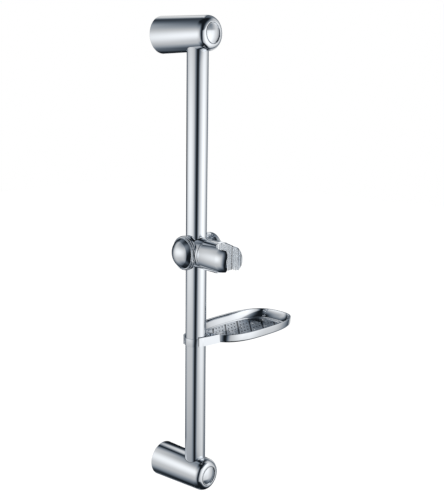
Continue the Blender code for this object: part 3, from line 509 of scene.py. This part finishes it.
def cradle_slot(name):
    """Slot for the hose, its mouth flared by a quarter circle on each side to round the fork's tips."""
    mouth = SLOT_HALF_WIDTH + TIP_ROUNDING
    tip = CRADLE_END_LENGTH * math.sqrt(1.0 - (mouth / CRADLE_RADIUS) ** 2)
    t = 0.5 * np.pi * np.linspace(0.0, 1.0, ARC_STEPS + 1)
    flare = np.column_stack([mouth - TIP_ROUNDING * np.cos(t), tip - TIP_ROUNDING * (1.0 - np.sin(t))])
    side = np.concatenate([[(SLOT_HALF_WIDTH, 0.0)], flare, [(mouth, 2 * CRADLE_END_LENGTH)]])
    outline = np.concatenate([side, side[::-1] * (-1.0, 1.0)])
    outline = np.column_stack([outline[:, 0], -BORE_CENTRE - outline[:, 1]])
    return prism(name, outline, (-2 * CRADLE_RADIUS, 2 * CRADLE_RADIUS), SLIDER_PLACE)


def bore_place():
    return SLIDER_PLACE @ Matrix.Translation((0.0, -BORE_CENTRE, 0.0))


def cradle_fork():
    """Forked bar that holds the handset."""
    fork = cradle_form("cradle_fork")
    bore = turned("bore", rod(BORE_RADIUS, -2 * CRADLE_RADIUS, 2 * CRADLE_RADIUS), bore_place())
    way = turned("pivot_way", rod(PIVOT_WAY_RADIUS, 0.5 * STUB_LENGTH, BORE_CENTRE), SLIDER_PLACE @ TO_ROOM)
    return smoothed(cut(fork, bore, cradle_slot("slot"), way))


def fork_lining():
    """Tapered lining of the bore, open at the slot, fluted inside by depth (1 - cos n t) / 2."""
    outer = BORE_RADIUS - CLEARANCE
    half = CRADLE_RADIUS + LINER_SETBACK
    t = np.linspace(0.0, 2 * np.pi, TURN_STEPS, endpoint=False)
    flute = 0.5 * FLUTE_DEPTH * (1.0 - np.cos(FLUTE_COUNT * t))
    plain = outer + 0.0 * t
    radii = (outer - LINER_WALL_TOP + flute, plain, plain, outer - LINER_WALL_BOTTOM + flute)
    rings = [np.column_stack([radius * np.cos(t), radius * np.sin(t), np.full(TURN_STEPS, height)])
             for radius, height in zip(radii, (half, half, -half, -half))]
    mesh = grid_mesh("fork_lining", np.stack(rings, axis=1), wrap_columns=True)
    lining = add_piece("fork_lining", mesh, bore_place())
    lining = combined(lining, [cradle_form("lining_form", LINER_SETBACK)], "INTERSECT")
    return smoothed(cut(lining, cradle_slot("lining_slot")))


def swivel_ring():
    low = STUB_LENGTH + CLEARANCE
    inner, high = 0.5 * RING_RADIUS, low + RING_THICKNESS
    corners = [(inner, high), (RING_RADIUS, high), (RING_RADIUS, low), (inner, low)]
    profile = rounded(corners, [0.0, EDGE, EDGE, 0.0], closed=True)
    return smoothed(turned("swivel_ring", profile, SLIDER_PLACE @ TO_ROOM, closed=True))


# Soap dish
def tray_centre():
    return TRAY_OFFSET + TRAY_HALF_LENGTH


def floor_level():
    return TRAY_RIM_RISE - TRAY_DEPTH


def superellipse(half_length, half_width, steps=TRAY_STEPS):
    """Points (a sign(cos t) |cos t|^(2/n), b sign(sin t) |sin t|^(2/n)) for t in even steps round."""
    t = np.linspace(0.0, 2 * np.pi, steps, endpoint=False)
    power = 2.0 / TRAY_EXPONENT
    along = np.sign(np.cos(t)) * np.abs(np.cos(t)) ** power
    across = np.sign(np.sin(t)) * np.abs(np.sin(t)) ** power
    return np.column_stack([half_length * along, half_width * across])


def end_inset(inset):
    """Inset at the tray's ends: below the rim the end walls slope more than the side walls."""
    return inset + TRAY_END_SLOPE * max(0.0, inset - TRAY_RIM_WIDTH)


def tray_loft(name, section):
    """Rings of the superellipse, each drawn in by an inset and set at a height: (inset, height, scale)."""
    rings = []
    for inset, height, scale in section:
        ring = scale * superellipse(TRAY_HALF_LENGTH - end_inset(inset), TRAY_HALF_WIDTH - inset)
        rings.append(np.column_stack([ring[:, 0] + tray_centre(), ring[:, 1], np.full(len(ring), height)]))
    return add_piece(name, grid_mesh(name, np.stack(rings, axis=1)), DISH_PLACE)


def tray_section():
    """Section from the middle of the underside, round the band and the rim, to the middle of the floor.

    The side wall is an arc whose lean from the upright grows evenly, and a fillet carries on to the floor.
    """
    rim, floor = TRAY_RIM_RISE, floor_level()
    under = rounded([(TRAY_FLOOR_INSET + TRAY_UNDER_FLAT, floor - TRAY_FLOOR),
                     (TRAY_FLOOR_INSET, floor - TRAY_FLOOR), (TRAY_BAND_INSET, rim - TRAY_BAND),
                     (0.0, rim - 0.5 * TRAY_RIM_WIDTH)],
                    [0.0, TRAY_UNDER_ROUNDING, TRAY_UNDER_ROUNDING, 0.0], steps=ARC_STEPS)
    lip = 0.5 * TRAY_RIM_WIDTH
    t = np.linspace(0.0, np.pi, 2 * ARC_STEPS + 1)
    crest = np.column_stack([lip - lip * np.cos(t), rim - lip + lip * np.sin(t)])
    lean, foot = math.radians(TRAY_WALL_LEAN_DEG), math.radians(TRAY_WALL_FOOT_DEG)
    fillet_rise = TRAY_FILLET * (1.0 - math.sin(foot))
    sweep = (rim - lip - floor - fillet_rise) / (math.sin(foot) - math.sin(lean))
    t = np.linspace(lean, foot, 2 * ARC_STEPS + 1)
    wall = np.column_stack([TRAY_RIM_WIDTH + sweep * (math.cos(lean) - np.cos(t)),
                            rim - lip - sweep * (np.sin(t) - math.sin(lean))])
    t = np.linspace(foot, 0.5 * np.pi, 2 * ARC_STEPS + 1)
    fillet = np.column_stack([wall[-1, 0] + TRAY_FILLET * (math.cos(foot) - np.cos(t)),
                              floor + TRAY_FILLET * (1.0 - np.sin(t))])
    start, top = fillet[-1, 0], floor + TRAY_RIDGE_RISE
    up, across, down = (start + step for step in RIDGE_STEPS)
    ridge = rounded([(start, floor), (up, top), (across, top), (down, floor),
                     (TRAY_FLOOR_INSET + FLOOR_MARGIN, floor)], [0.0, *RIDGE_ROUNDINGS, 0.0])
    section = np.concatenate([under, crest[1:], wall[1:], fillet[1:], ridge[1:]])
    section = np.column_stack([section, np.ones(len(section))])
    first, last = section[0].copy(), section[-1].copy()
    first[2] = last[2] = 0.0
    return np.vstack([first, section, last])


def floor_point(foot, across):
    """Point of the floor on a slanted line, from the line's foot on the long axis and a distance across."""
    return np.array([foot + across / math.tan(math.radians(GROOVE_ANGLE_DEG)), across, floor_level()])


def half_floor():
    return TRAY_HALF_WIDTH - TRAY_FLOOR_INSET - FLOOR_MARGIN


def on_floor(x, y):
    along = abs((x - tray_centre()) / (TRAY_HALF_LENGTH - end_inset(TRAY_FLOOR_INSET + FLOOR_MARGIN)))
    return along ** TRAY_EXPONENT + abs(y / half_floor()) ** TRAY_EXPONENT < 1.0


def groove_feet():
    first = tray_centre() - 0.5 * GROOVE_PITCH * (GROOVE_COUNT - 1)
    return [first + i * GROOVE_PITCH for i in range(GROOVE_COUNT)]


def bars(name, centres, size):
    """Upright round-ended bars of one size, at centres on the floor, along the slant."""
    length, width, height = size
    turn = Matrix.Rotation(math.radians(GROOVE_ANGLE_DEG), 4, "Z")
    t = np.linspace(-0.5 * np.pi, 0.5 * np.pi, 5)
    end = np.column_stack([0.5 * (length - width) + 0.5 * width * np.cos(t), 0.5 * width * np.sin(t)])
    outline = np.concatenate([end, -end])
    bm = bmesh.new()
    for centre in centres:
        place = Matrix.Translation(Vector(centre)) @ turn
        lower = [bm.verts.new(place @ Vector((x, y, -0.5 * height))) for x, y in outline]
        upper = [bm.verts.new(place @ Vector((x, y, 0.5 * height))) for x, y in outline]
        count = len(outline)
        for i in range(count):
            bm.faces.new((lower[i], lower[(i + 1) % count], upper[(i + 1) % count], upper[i]))
        bm.faces.new(lower[::-1])
        bm.faces.new(upper)
    mesh = bpy.data.meshes.new(name)
    bm.to_mesh(mesh)
    bm.free()
    return add_piece(name, mesh, DISH_PLACE)


def floor_area(name, inset, reach):
    """Block inside the tray's outline, drawn in by an inset, to a reach above and below the floor."""
    low, high = floor_level() - reach, floor_level() + reach
    return tray_loft(name, [(inset, low, 0.0), (inset, low, 1.0), (inset, high, 1.0), (inset, high, 0.0)])


def floor_grooves():
    """Blind grooves across the floor, ended by the border ridge."""
    length = 2 * half_floor() / math.sin(math.radians(GROOVE_ANGLE_DEG))
    centres = [floor_point(foot, 0.0) for foot in groove_feet()]
    grooves = bars("grooves", centres, (length, GROOVE_WIDTH, 2 * GROOVE_DEPTH))
    area = floor_area("groove_area", TRAY_FLOOR_INSET + FLOOR_MARGIN, 4 * GROOVE_DEPTH)
    return combined(grooves, [area], "INTERSECT")


def drain_slots():
    """Short drain slots in rows between the grooves, wherever a whole slot fits."""
    turn = math.radians(GROOVE_ANGLE_DEG)
    row_step = 2 * half_floor() / SLOT_ROWS
    half_run = 0.5 * SLOT_LENGTH * math.sin(turn)
    centres = []
    for groove in groove_feet()[:-1]:
        for i in range(1, SLOTS_PER_CELL + 1):
            foot = groove + GROOVE_PITCH * i / (SLOTS_PER_CELL + 1)
            for row in range(SLOT_ROWS):
                across = (row + 0.5) * row_step - half_floor()
                ends = [floor_point(foot, across + side * half_run) for side in (-1, 1)]
                if all(on_floor(*end[:2]) for end in ends):
                    centres.append(floor_point(foot, across))
    return bars("drain_slots", centres, (SLOT_LENGTH, SLOT_WIDTH, 4 * TRAY_FLOOR))


def floor_ribs():
    """Low ribs across the dish: a zigzag of RIB_PITCH along and RIB_HEIGHT up, ended at the floor's edge."""
    count = int(2 * TRAY_HALF_LENGTH / RIB_PITCH)
    along = tray_centre() + 0.5 * RIB_PITCH * np.arange(-count, count + 1)
    low = floor_level() - 0.5 * GROOVE_DEPTH
    crest = floor_level() + np.where(np.arange(2 * count + 1) % 2 == 1, RIB_HEIGHT, RIB_VALLEY)
    crest[[0, -1]] = low
    ends = TRAY_HALF_WIDTH * np.array([1.0, 1.0, -1.0, -1.0])
    heights = np.stack([np.full(len(along), low), crest, crest, np.full(len(along), low)], axis=1)
    places = np.repeat(along[:, None], 4, axis=1)
    points = np.stack([places, np.broadcast_to(ends, heights.shape), heights], axis=-1)
    mesh = grid_mesh("floor_ribs", points, wrap_rows=False, wrap_columns=True)
    area = floor_area("rib_area", TRAY_FLOOR_INSET + 0.5 * FLOOR_MARGIN, GROOVE_DEPTH)
    return combined(add_piece("floor_ribs", mesh, DISH_PLACE), [area], "INTERSECT")


def floor_studs():
    """Low round studs beside the grooves."""
    turn = math.radians(GROOVE_ANGLE_DEG)
    offset = (0.5 * GROOVE_WIDTH + STUD_FOOT_RADIUS + STUD_GAP) / math.sin(turn)
    across = STUD_SPREAD * half_floor() / SLOT_ROWS
    shank = [(STUD_FOOT_RADIUS, -STUD_RISE), (0.0, -STUD_RISE)]
    profile = np.concatenate([quarter_arc(0.0, STUD_RISE, STUD_FOOT_RADIUS, 0.0), shank])
    studs = []
    for groove in groove_feet()[1:-1]:
        for side in (-1, 1):
            place = DISH_PLACE @ Matrix.Translation(Vector(floor_point(groove + offset, side * across)))
            studs.append(turned(f"stud_{len(studs)}", profile, place, STUD_STEPS))
    return studs


def arc_band(name, inner, outer, levels, from_deg, to_deg, edge):
    """Band round the rail's axis: a rounded rectangle of radius and height, swept between two angles."""
    low, high = levels
    section = rounded([(inner, high), (outer, high), (outer, low), (inner, low)], [edge] * 4, closed=True)
    middle = section.mean(axis=0)
    t = np.radians(np.linspace(from_deg, to_deg, 2 * RAIL_STEPS + 1))
    tip = np.broadcast_to(middle, section.shape)
    sections = [tip] + [section] * len(t) + [tip]
    angles = np.concatenate([t[:1], t, t[-1:]])
    points = [np.column_stack([part[:, 0] * math.cos(a), part[:, 0] * math.sin(a), part[:, 1]])
              for part, a in zip(sections, angles)]
    mesh = grid_mesh(name, np.stack(points), wrap_rows=False, wrap_columns=True)
    return add_piece(name, mesh, DISH_PLACE)


def clip_radius():
    return RAIL_RADIUS + GRIP_WALL + 2 * CLEARANCE


def prong(side, start):
    """Straight strap from the clip to the tray, its far end slanted to stay inside the tray's wall."""
    splay = math.radians(PRONG_SPLAY_DEG)
    run = np.array([math.cos(splay), side * math.sin(splay), 0.0])
    out = np.array([-math.sin(splay), side * math.cos(splay), 0.0])
    half = 0.5 * STRAP_HEIGHT - PRONG_SETBACK
    foot, top = TRAY_OFFSET + PRONG_FOOT_OVERLAP, TRAY_OFFSET + PRONG_TOP_OVERLAP
    outline = rounded([(start, -half), (foot, -half), (top, half), (start, half)], [EDGE] * 4, closed=True)
    middle = outline.mean(axis=0)
    rings = []
    inner, outer = PRONG_SETBACK, STRAP_THICKNESS - PRONG_SETBACK
    for radius, share in ((inner, 0.0), (inner, 1.0), (outer, 1.0), (outer, 0.0)):
        flat = middle + share * (outline - middle)
        reach = clip_radius() + radius
        along = (flat[:, :1] + reach * math.sin(splay)) / math.cos(splay)
        rings.append(out * reach + along * run + np.outer(flat[:, 1], (0.0, 0.0, 1.0)))
    return add_piece("prong", grid_mesh("prong", np.stack(rings, axis=1)), DISH_PLACE)


def soap_tray():
    """Tray, prongs and rail clip as one moulding, its floor with ribs, studs, grooves and drain slots."""
    tray = tray_loft("soap_tray", tray_section())
    outer = clip_radius() + STRAP_THICKNESS
    levels = (-0.5 * STRAP_HEIGHT, 0.5 * STRAP_HEIGHT)
    clip = arc_band("clip", clip_radius(), outer, levels, -CLIP_NEAR_TIP_DEG, CLIP_FAR_TIP_DEG, EDGE)
    near = prong(-1, outer * math.cos(math.radians(CLIP_NEAR_TIP_DEG)))
    far = prong(1, -outer * math.sin(math.radians(PRONG_SPLAY_DEG)))
    tray = joined(tray, joined(clip, near, far), floor_ribs(), *floor_studs())
    return smoothed(cut(tray, floor_grooves(), drain_slots()))


def grip_sleeve():
    inner = RAIL_RADIUS + CLEARANCE
    levels = (-0.5 * STRAP_HEIGHT - GRIP_OVERHANG, 0.5 * STRAP_HEIGHT - GRIP_SETBACK)
    start, end = 0.5 * GRIP_SPLIT_DEG, 360.0 - 0.5 * GRIP_SPLIT_DEG
    return smoothed(arc_band("grip_sleeve", inner, inner + GRIP_WALL, levels, start, end, TINY_GAP))


# Materials
def new_material(name):
    material = bpy.data.materials.new(name)
    material.use_nodes = True
    return material, material.node_tree.nodes["Principled BSDF"]


def noise_group():
    """Shared surface grain: a noise on the object's own coordinates gives a value and a bump normal."""
    group = bpy.data.node_groups.new("surface_grain", "ShaderNodeTree")
    for socket, kind, value in (("Scale", "NodeSocketFloat", 200.0), ("Strength", "NodeSocketFloat", 0.1),
                                ("Distance", "NodeSocketFloat", 0.0001)):
        entry = group.interface.new_socket(socket, in_out="INPUT", socket_type=kind)
        entry.default_value = value
    group.interface.new_socket("Grain", in_out="OUTPUT", socket_type="NodeSocketFloat")
    group.interface.new_socket("Normal", in_out="OUTPUT", socket_type="NodeSocketVector")
    made = group.nodes
    source, sink = made.new("NodeGroupInput"), made.new("NodeGroupOutput")
    place, noise = made.new("ShaderNodeTexCoord"), made.new("ShaderNodeTexNoise")
    bump = made.new("ShaderNodeBump")
    noise.inputs["Detail"].default_value = 3.0
    link = group.links.new
    link(place.outputs["Object"], noise.inputs["Vector"])
    link(source.outputs["Scale"], noise.inputs["Scale"])
    link(source.outputs["Strength"], bump.inputs["Strength"])
    link(source.outputs["Distance"], bump.inputs["Distance"])
    link(noise.outputs["Fac"], bump.inputs["Height"])
    link(noise.outputs["Fac"], sink.inputs["Grain"])
    link(bump.outputs["Normal"], sink.inputs["Normal"])
    return group


def grained(name, colour, dark_share, metallic, roughness, rough_spread, scale, strength, distance):
    """Finish whose colour and roughness drift with the grain, over a fine bump."""
    material, shader = new_material(name)
    tree = material.node_tree
    grain = tree.nodes.new("ShaderNodeGroup")
    grain.node_tree = bpy.data.node_groups["surface_grain"]
    grain.inputs["Scale"].default_value = scale
    grain.inputs["Strength"].default_value = strength
    grain.inputs["Distance"].default_value = distance
    tint = tree.nodes.new("ShaderNodeMix")
    tint.data_type = "RGBA"
    tint.inputs["A"].default_value = (*(dark_share * value for value in colour), 1.0)
    tint.inputs["B"].default_value = (*colour, 1.0)
    spread = tree.nodes.new("ShaderNodeMapRange")
    spread.inputs["To Min"].default_value = max(0.0, roughness - rough_spread)
    spread.inputs["To Max"].default_value = roughness + rough_spread
    link = tree.links.new
    link(grain.outputs["Grain"], tint.inputs["Factor"])
    link(grain.outputs["Grain"], spread.inputs["Value"])
    link(tint.outputs["Result"], shader.inputs["Base Color"])
    link(spread.outputs["Result"], shader.inputs["Roughness"])
    link(grain.outputs["Normal"], shader.inputs["Normal"])
    shader.inputs["Metallic"].default_value = metallic
    return material


def add_painted_groove_shade(material):
    """Painted shade at the bottom of the dish's grooves: a dark base colour, masked by height."""
    tree = material.node_tree
    shader = tree.nodes["Principled BSDF"]
    place, axes = tree.nodes.new("ShaderNodeTexCoord"), tree.nodes.new("ShaderNodeSeparateXYZ")
    recess, shade = tree.nodes.new("ShaderNodeMath"), tree.nodes.new("ShaderNodeMix")
    recess.operation = "COMPARE"
    recess.inputs[1].default_value = DISH_HEIGHT + floor_level() - GROOVE_DEPTH
    recess.inputs[2].default_value = 0.5 * GROOVE_DEPTH
    shade.data_type = "RGBA"
    # The painted groove shade takes the place of the base colour inside the height band
    shade.inputs["B"].default_value = GROOVE_SHADE_COLOUR
    link = tree.links.new
    link(place.outputs["Object"], axes.inputs["Vector"])
    link(axes.outputs["Z"], recess.inputs[0])
    link(recess.outputs["Value"], shade.inputs["Factor"])
    link(shader.inputs["Base Color"].links[0].from_socket, shade.inputs["A"])
    link(shade.outputs["Result"], shader.inputs["Base Color"])


noise_group()
CHROME = grained("chrome", (0.845, 0.88, 0.92), 0.98, 1.0, 0.03, 0.01, 90.0, 0.02, 0.00002)
DISH_CHROME = grained("dish_chrome", (0.84, 0.875, 0.915), 0.98, 1.0, 0.04, 0.01, 120.0, 0.03, 0.00002)
STEEL = grained("steel", (0.62, 0.62, 0.63), 0.85, 1.0, 0.32, 0.08, 900.0, 0.2, 0.00003)
GREY_PLASTIC = grained("grey_plastic", (0.42, 0.43, 0.45), 0.92, 0.0, 0.45, 0.06, 700.0, 0.2, 0.00004)
CLEAR_PLASTIC = grained("clear_plastic", (0.88, 0.91, 0.94), 0.95, 0.65, 0.12, 0.03, 300.0, 0.1, 0.0001)
# Painted shade in the dish's grooves
add_painted_groove_shade(DISH_CHROME)
BLACK_PLASTIC = grained("black_plastic", (0.05, 0.05, 0.055), 0.8, 0.0, 0.5, 0.08, 700.0, 0.2, 0.00004)
FINISHES = {"chrome": CHROME, "dish_chrome": DISH_CHROME, "steel": STEEL, "grey_plastic": GREY_PLASTIC,
            "clear_plastic": CLEAR_PLASTIC, "black_plastic": BLACK_PLASTIC}


# Studio
def add_camera():
    """Camera turned by yaw about Z, pitched down, then rolled about its own axis."""
    yaw, pitch, roll = (math.radians(a) for a in (CAMERA_YAW_DEG, CAMERA_PITCH_DEG, CAMERA_ROLL_DEG))
    forward = Vector((-math.sin(yaw) * math.cos(pitch), math.cos(yaw) * math.cos(pitch), -math.sin(pitch)))
    right = Vector((math.cos(yaw), math.sin(yaw), 0.0))
    down = forward.cross(right)
    across = math.cos(roll) * right + math.sin(roll) * down
    below = math.cos(roll) * down - math.sin(roll) * right
    turn = Matrix((across, -below, -forward)).transposed().to_4x4()
    data = bpy.data.cameras.new("camera")
    data.sensor_width = SENSOR_WIDTH
    data.lens = CAMERA_LENS
    camera = bpy.data.objects.new("camera", data)
    camera.matrix_world = Matrix.Translation(CAMERA_PLACE) @ turn
    bpy.context.scene.collection.objects.link(camera)
    bpy.context.scene.camera = camera


def add_world():
    """Plain white world: the background, and even light on every surface that isn't a mirror."""
    world = bpy.data.worlds.new("studio")
    bpy.context.scene.world = world
    world.use_nodes = True
    background = world.node_tree.nodes["Background"]
    background.inputs["Color"].default_value = (1.0, 1.0, 1.0, 1.0)
    background.inputs["Strength"].default_value = 1.0


def soft_step(value, centre, half, soft):
    """1 within half of the centre and 0 outside, passing through 1/2 at half over a width of 2 soft."""
    t = np.clip((half + soft - np.abs(value - centre)) / (2 * soft), 0.0, 1.0)
    return t * t * (3 - 2 * t)


def tent_light(azimuth, elevation):
    """Brightness of the tent in a direction: the sum of the softboxes, each soft in azimuth and elevation.

    The boxes lean: their azimuth grows by TENT_LEAN degrees for each degree of elevation, up to LEAN_REACH.
    """
    leaned = azimuth - TENT_LEAN * np.clip(elevation, -LEAN_REACH, LEAN_REACH)
    light = np.full(azimuth.shape, TENT_BASE)
    for level, box_azimuth, half_width, soft_width, box_elevation, half_height, soft_height in SOFTBOXES:
        offset = (leaned - box_azimuth + 180.0) % 360.0 - 180.0
        light += level * soft_step(offset, 0.0, half_width, soft_width) * soft_step(
            elevation, box_elevation, half_height, soft_height
        )
    return light


def sphere_points(centre, radius, azimuths, elevations):
    """Points at a radius from a centre, on a grid of azimuth and elevation in degrees."""
    a, e = np.meshgrid(np.radians(azimuths), np.radians(elevations), indexing="ij")
    around = np.stack([np.cos(e) * np.cos(a), np.cos(e) * np.sin(a), np.sin(e)], axis=-1)
    return np.asarray(centre) + radius * around


def for_reflections_only(piece):
    """The piece as part of the studio that only mirrored rays see."""
    piece.visible_camera = False
    piece.visible_diffuse = False
    piece.visible_transmission = False
    piece.visible_volume_scatter = False
    piece.visible_shadow = False


def glowing(name, strength_attribute):
    """Light given off by the mesh's own brightness values, bluish where dim and white where bright."""
    material, shader = new_material(name)
    material.cycles.emission_sampling = "NONE"
    tree = material.node_tree
    shader.inputs["Base Color"].default_value = (0.0, 0.0, 0.0, 1.0)
    shader.inputs["Specular IOR Level"].default_value = 0.0
    glow, tint = tree.nodes.new("ShaderNodeAttribute"), tree.nodes.new("ShaderNodeMix")
    glow.attribute_name = strength_attribute
    tint.data_type = "RGBA"
    tint.inputs["A"].default_value = SHADE_TINT
    tint.inputs["B"].default_value = (1.0, 1.0, 1.0, 1.0)
    whitening = tree.nodes.new("ShaderNodeMapRange")
    whitening.inputs["From Max"].default_value = WHITE_FROM
    tree.links.new(glow.outputs["Fac"], whitening.inputs["Value"])
    tree.links.new(whitening.outputs["Result"], tint.inputs["Factor"])
    tree.links.new(tint.outputs["Result"], shader.inputs["Emission Color"])
    tree.links.new(glow.outputs["Fac"], shader.inputs["Emission Strength"])
    return material


def add_tent():
    """Round light tent with the softboxes on its inside, seen only in reflections."""
    azimuths = np.arange(-180.0, 181.0, 1.0)
    elevations = np.arange(-90.0, 91.0, 1.0)
    points = sphere_points(TENT_CENTRE, TENT_RADIUS, azimuths, elevations)
    mesh = grid_mesh("light_tent", points, wrap_rows=False)
    a, e = np.meshgrid(azimuths, elevations, indexing="ij")
    glow = mesh.attributes.new("glow", "FLOAT", "POINT")
    glow.data.foreach_set("value", tent_light(a, e).ravel().astype(np.float32))
    tent = bpy.data.objects.new("light_tent", mesh)
    bpy.context.scene.collection.objects.link(tent)
    tent.data.materials.append(glowing("tent_glow", "glow"))
    for_reflections_only(tent)


def add_floor():
    """Plain pale floor below the tent; a little glow for the camera lifts its unshaded part to white."""
    corners = [(-FLOOR_HALF, -FLOOR_HALF, 0.0), (FLOOR_HALF, -FLOOR_HALF, 0.0), (FLOOR_HALF, FLOOR_HALF, 0.0),
               (-FLOOR_HALF, FLOOR_HALF, 0.0)]
    mesh = bpy.data.meshes.new("studio_floor")
    mesh.from_pydata(corners, [], [(0, 1, 2, 3)])
    floor = bpy.data.objects.new("studio_floor", mesh)
    floor.location.z = FLOOR_HEIGHT
    bpy.context.scene.collection.objects.link(floor)
    material, shader = new_material("floor_paint")
    tree = material.node_tree
    shader.inputs["Base Color"].default_value = FLOOR_COLOUR
    shader.inputs["Roughness"].default_value = 0.9
    shader.inputs["Specular IOR Level"].default_value = 0.0
    shader.inputs["Emission Color"].default_value = (1.0, 1.0, 1.0, 1.0)
    path = tree.nodes.new("ShaderNodeLightPath")
    seen, lift = tree.nodes.new("ShaderNodeMath"), tree.nodes.new("ShaderNodeMath")
    either = tree.nodes.new("ShaderNodeMath")
    seen.operation = either.operation = "MAXIMUM"
    lift.operation = "MULTIPLY"
    lift.inputs[1].default_value = FLOOR_GLOW
    tree.links.new(path.outputs["Is Camera Ray"], seen.inputs[0])
    tree.links.new(path.outputs["Is Glossy Ray"], seen.inputs[1])
    tree.links.new(seen.outputs["Value"], either.inputs[0])
    tree.links.new(path.outputs["Is Transmission Ray"], either.inputs[1])
    tree.links.new(either.outputs["Value"], lift.inputs[0])
    tree.links.new(lift.outputs["Value"], shader.inputs["Emission Strength"])
    mesh.materials.append(material)


# Pieces: mesh, body, solids it stands for, material and the record's slot
PIECES = [
    (rail_tube(), "column", ["rail_tube"], CHROME, "chrome"),
    (bracket("lower_mount", 0.0, -1), "column", ["lower_bracket"], CHROME, "chrome"),
    (bracket("upper_mount", BRACKET_SPACING, 1), "column", ["upper_bracket"], CHROME, "chrome"),
    (bracket_cap("lower_cover", 0.0), "column", ["lower_cap"], CHROME, "chrome"),
    (bracket_cap("upper_cover", BRACKET_SPACING), "column", ["upper_cap"], CHROME, "chrome"),
    (slider_casting(), "slider", ["slider_body"], CHROME, "chrome"),
    (domed_cover(), "slider", ["dome_cap"], CHROME, "chrome"),
    (swivel_ring(), "slider", ["friction_ring"], CHROME, "grey_plastic"),
    (turning_knob(), "knob", ["lock_knob"], CHROME, "chrome"),
    (cradle_fork(), "cradle", ["handset_cradle"], CHROME, "chrome"),
    (fork_lining(), "cradle", ["cradle_liner"], CLEAR_PLASTIC, "clear_plastic"),
    (soap_tray(), "dish", ["soap_dish"], DISH_CHROME, "dish_chrome"),
    (grip_sleeve(), "grip", ["dish_grip"], CHROME, "grey_plastic"),
]
for piece, body, replaced, material, slot in PIECES:
    piece.data.materials.clear()
    piece.data.materials.append(material)
    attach(piece, body)
    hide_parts(*replaced)

record_slots = {entry["node"]: entry["material_slot"] for entry in frame["record"]["subparts"]}
for name, node in nodes.items():
    for holder in node.material_slots:
        holder.material = FINISHES[record_slots[name]]

add_camera()
add_world()
add_floor()
add_tent()
bpy.context.scene.view_settings.view_transform = "Standard"
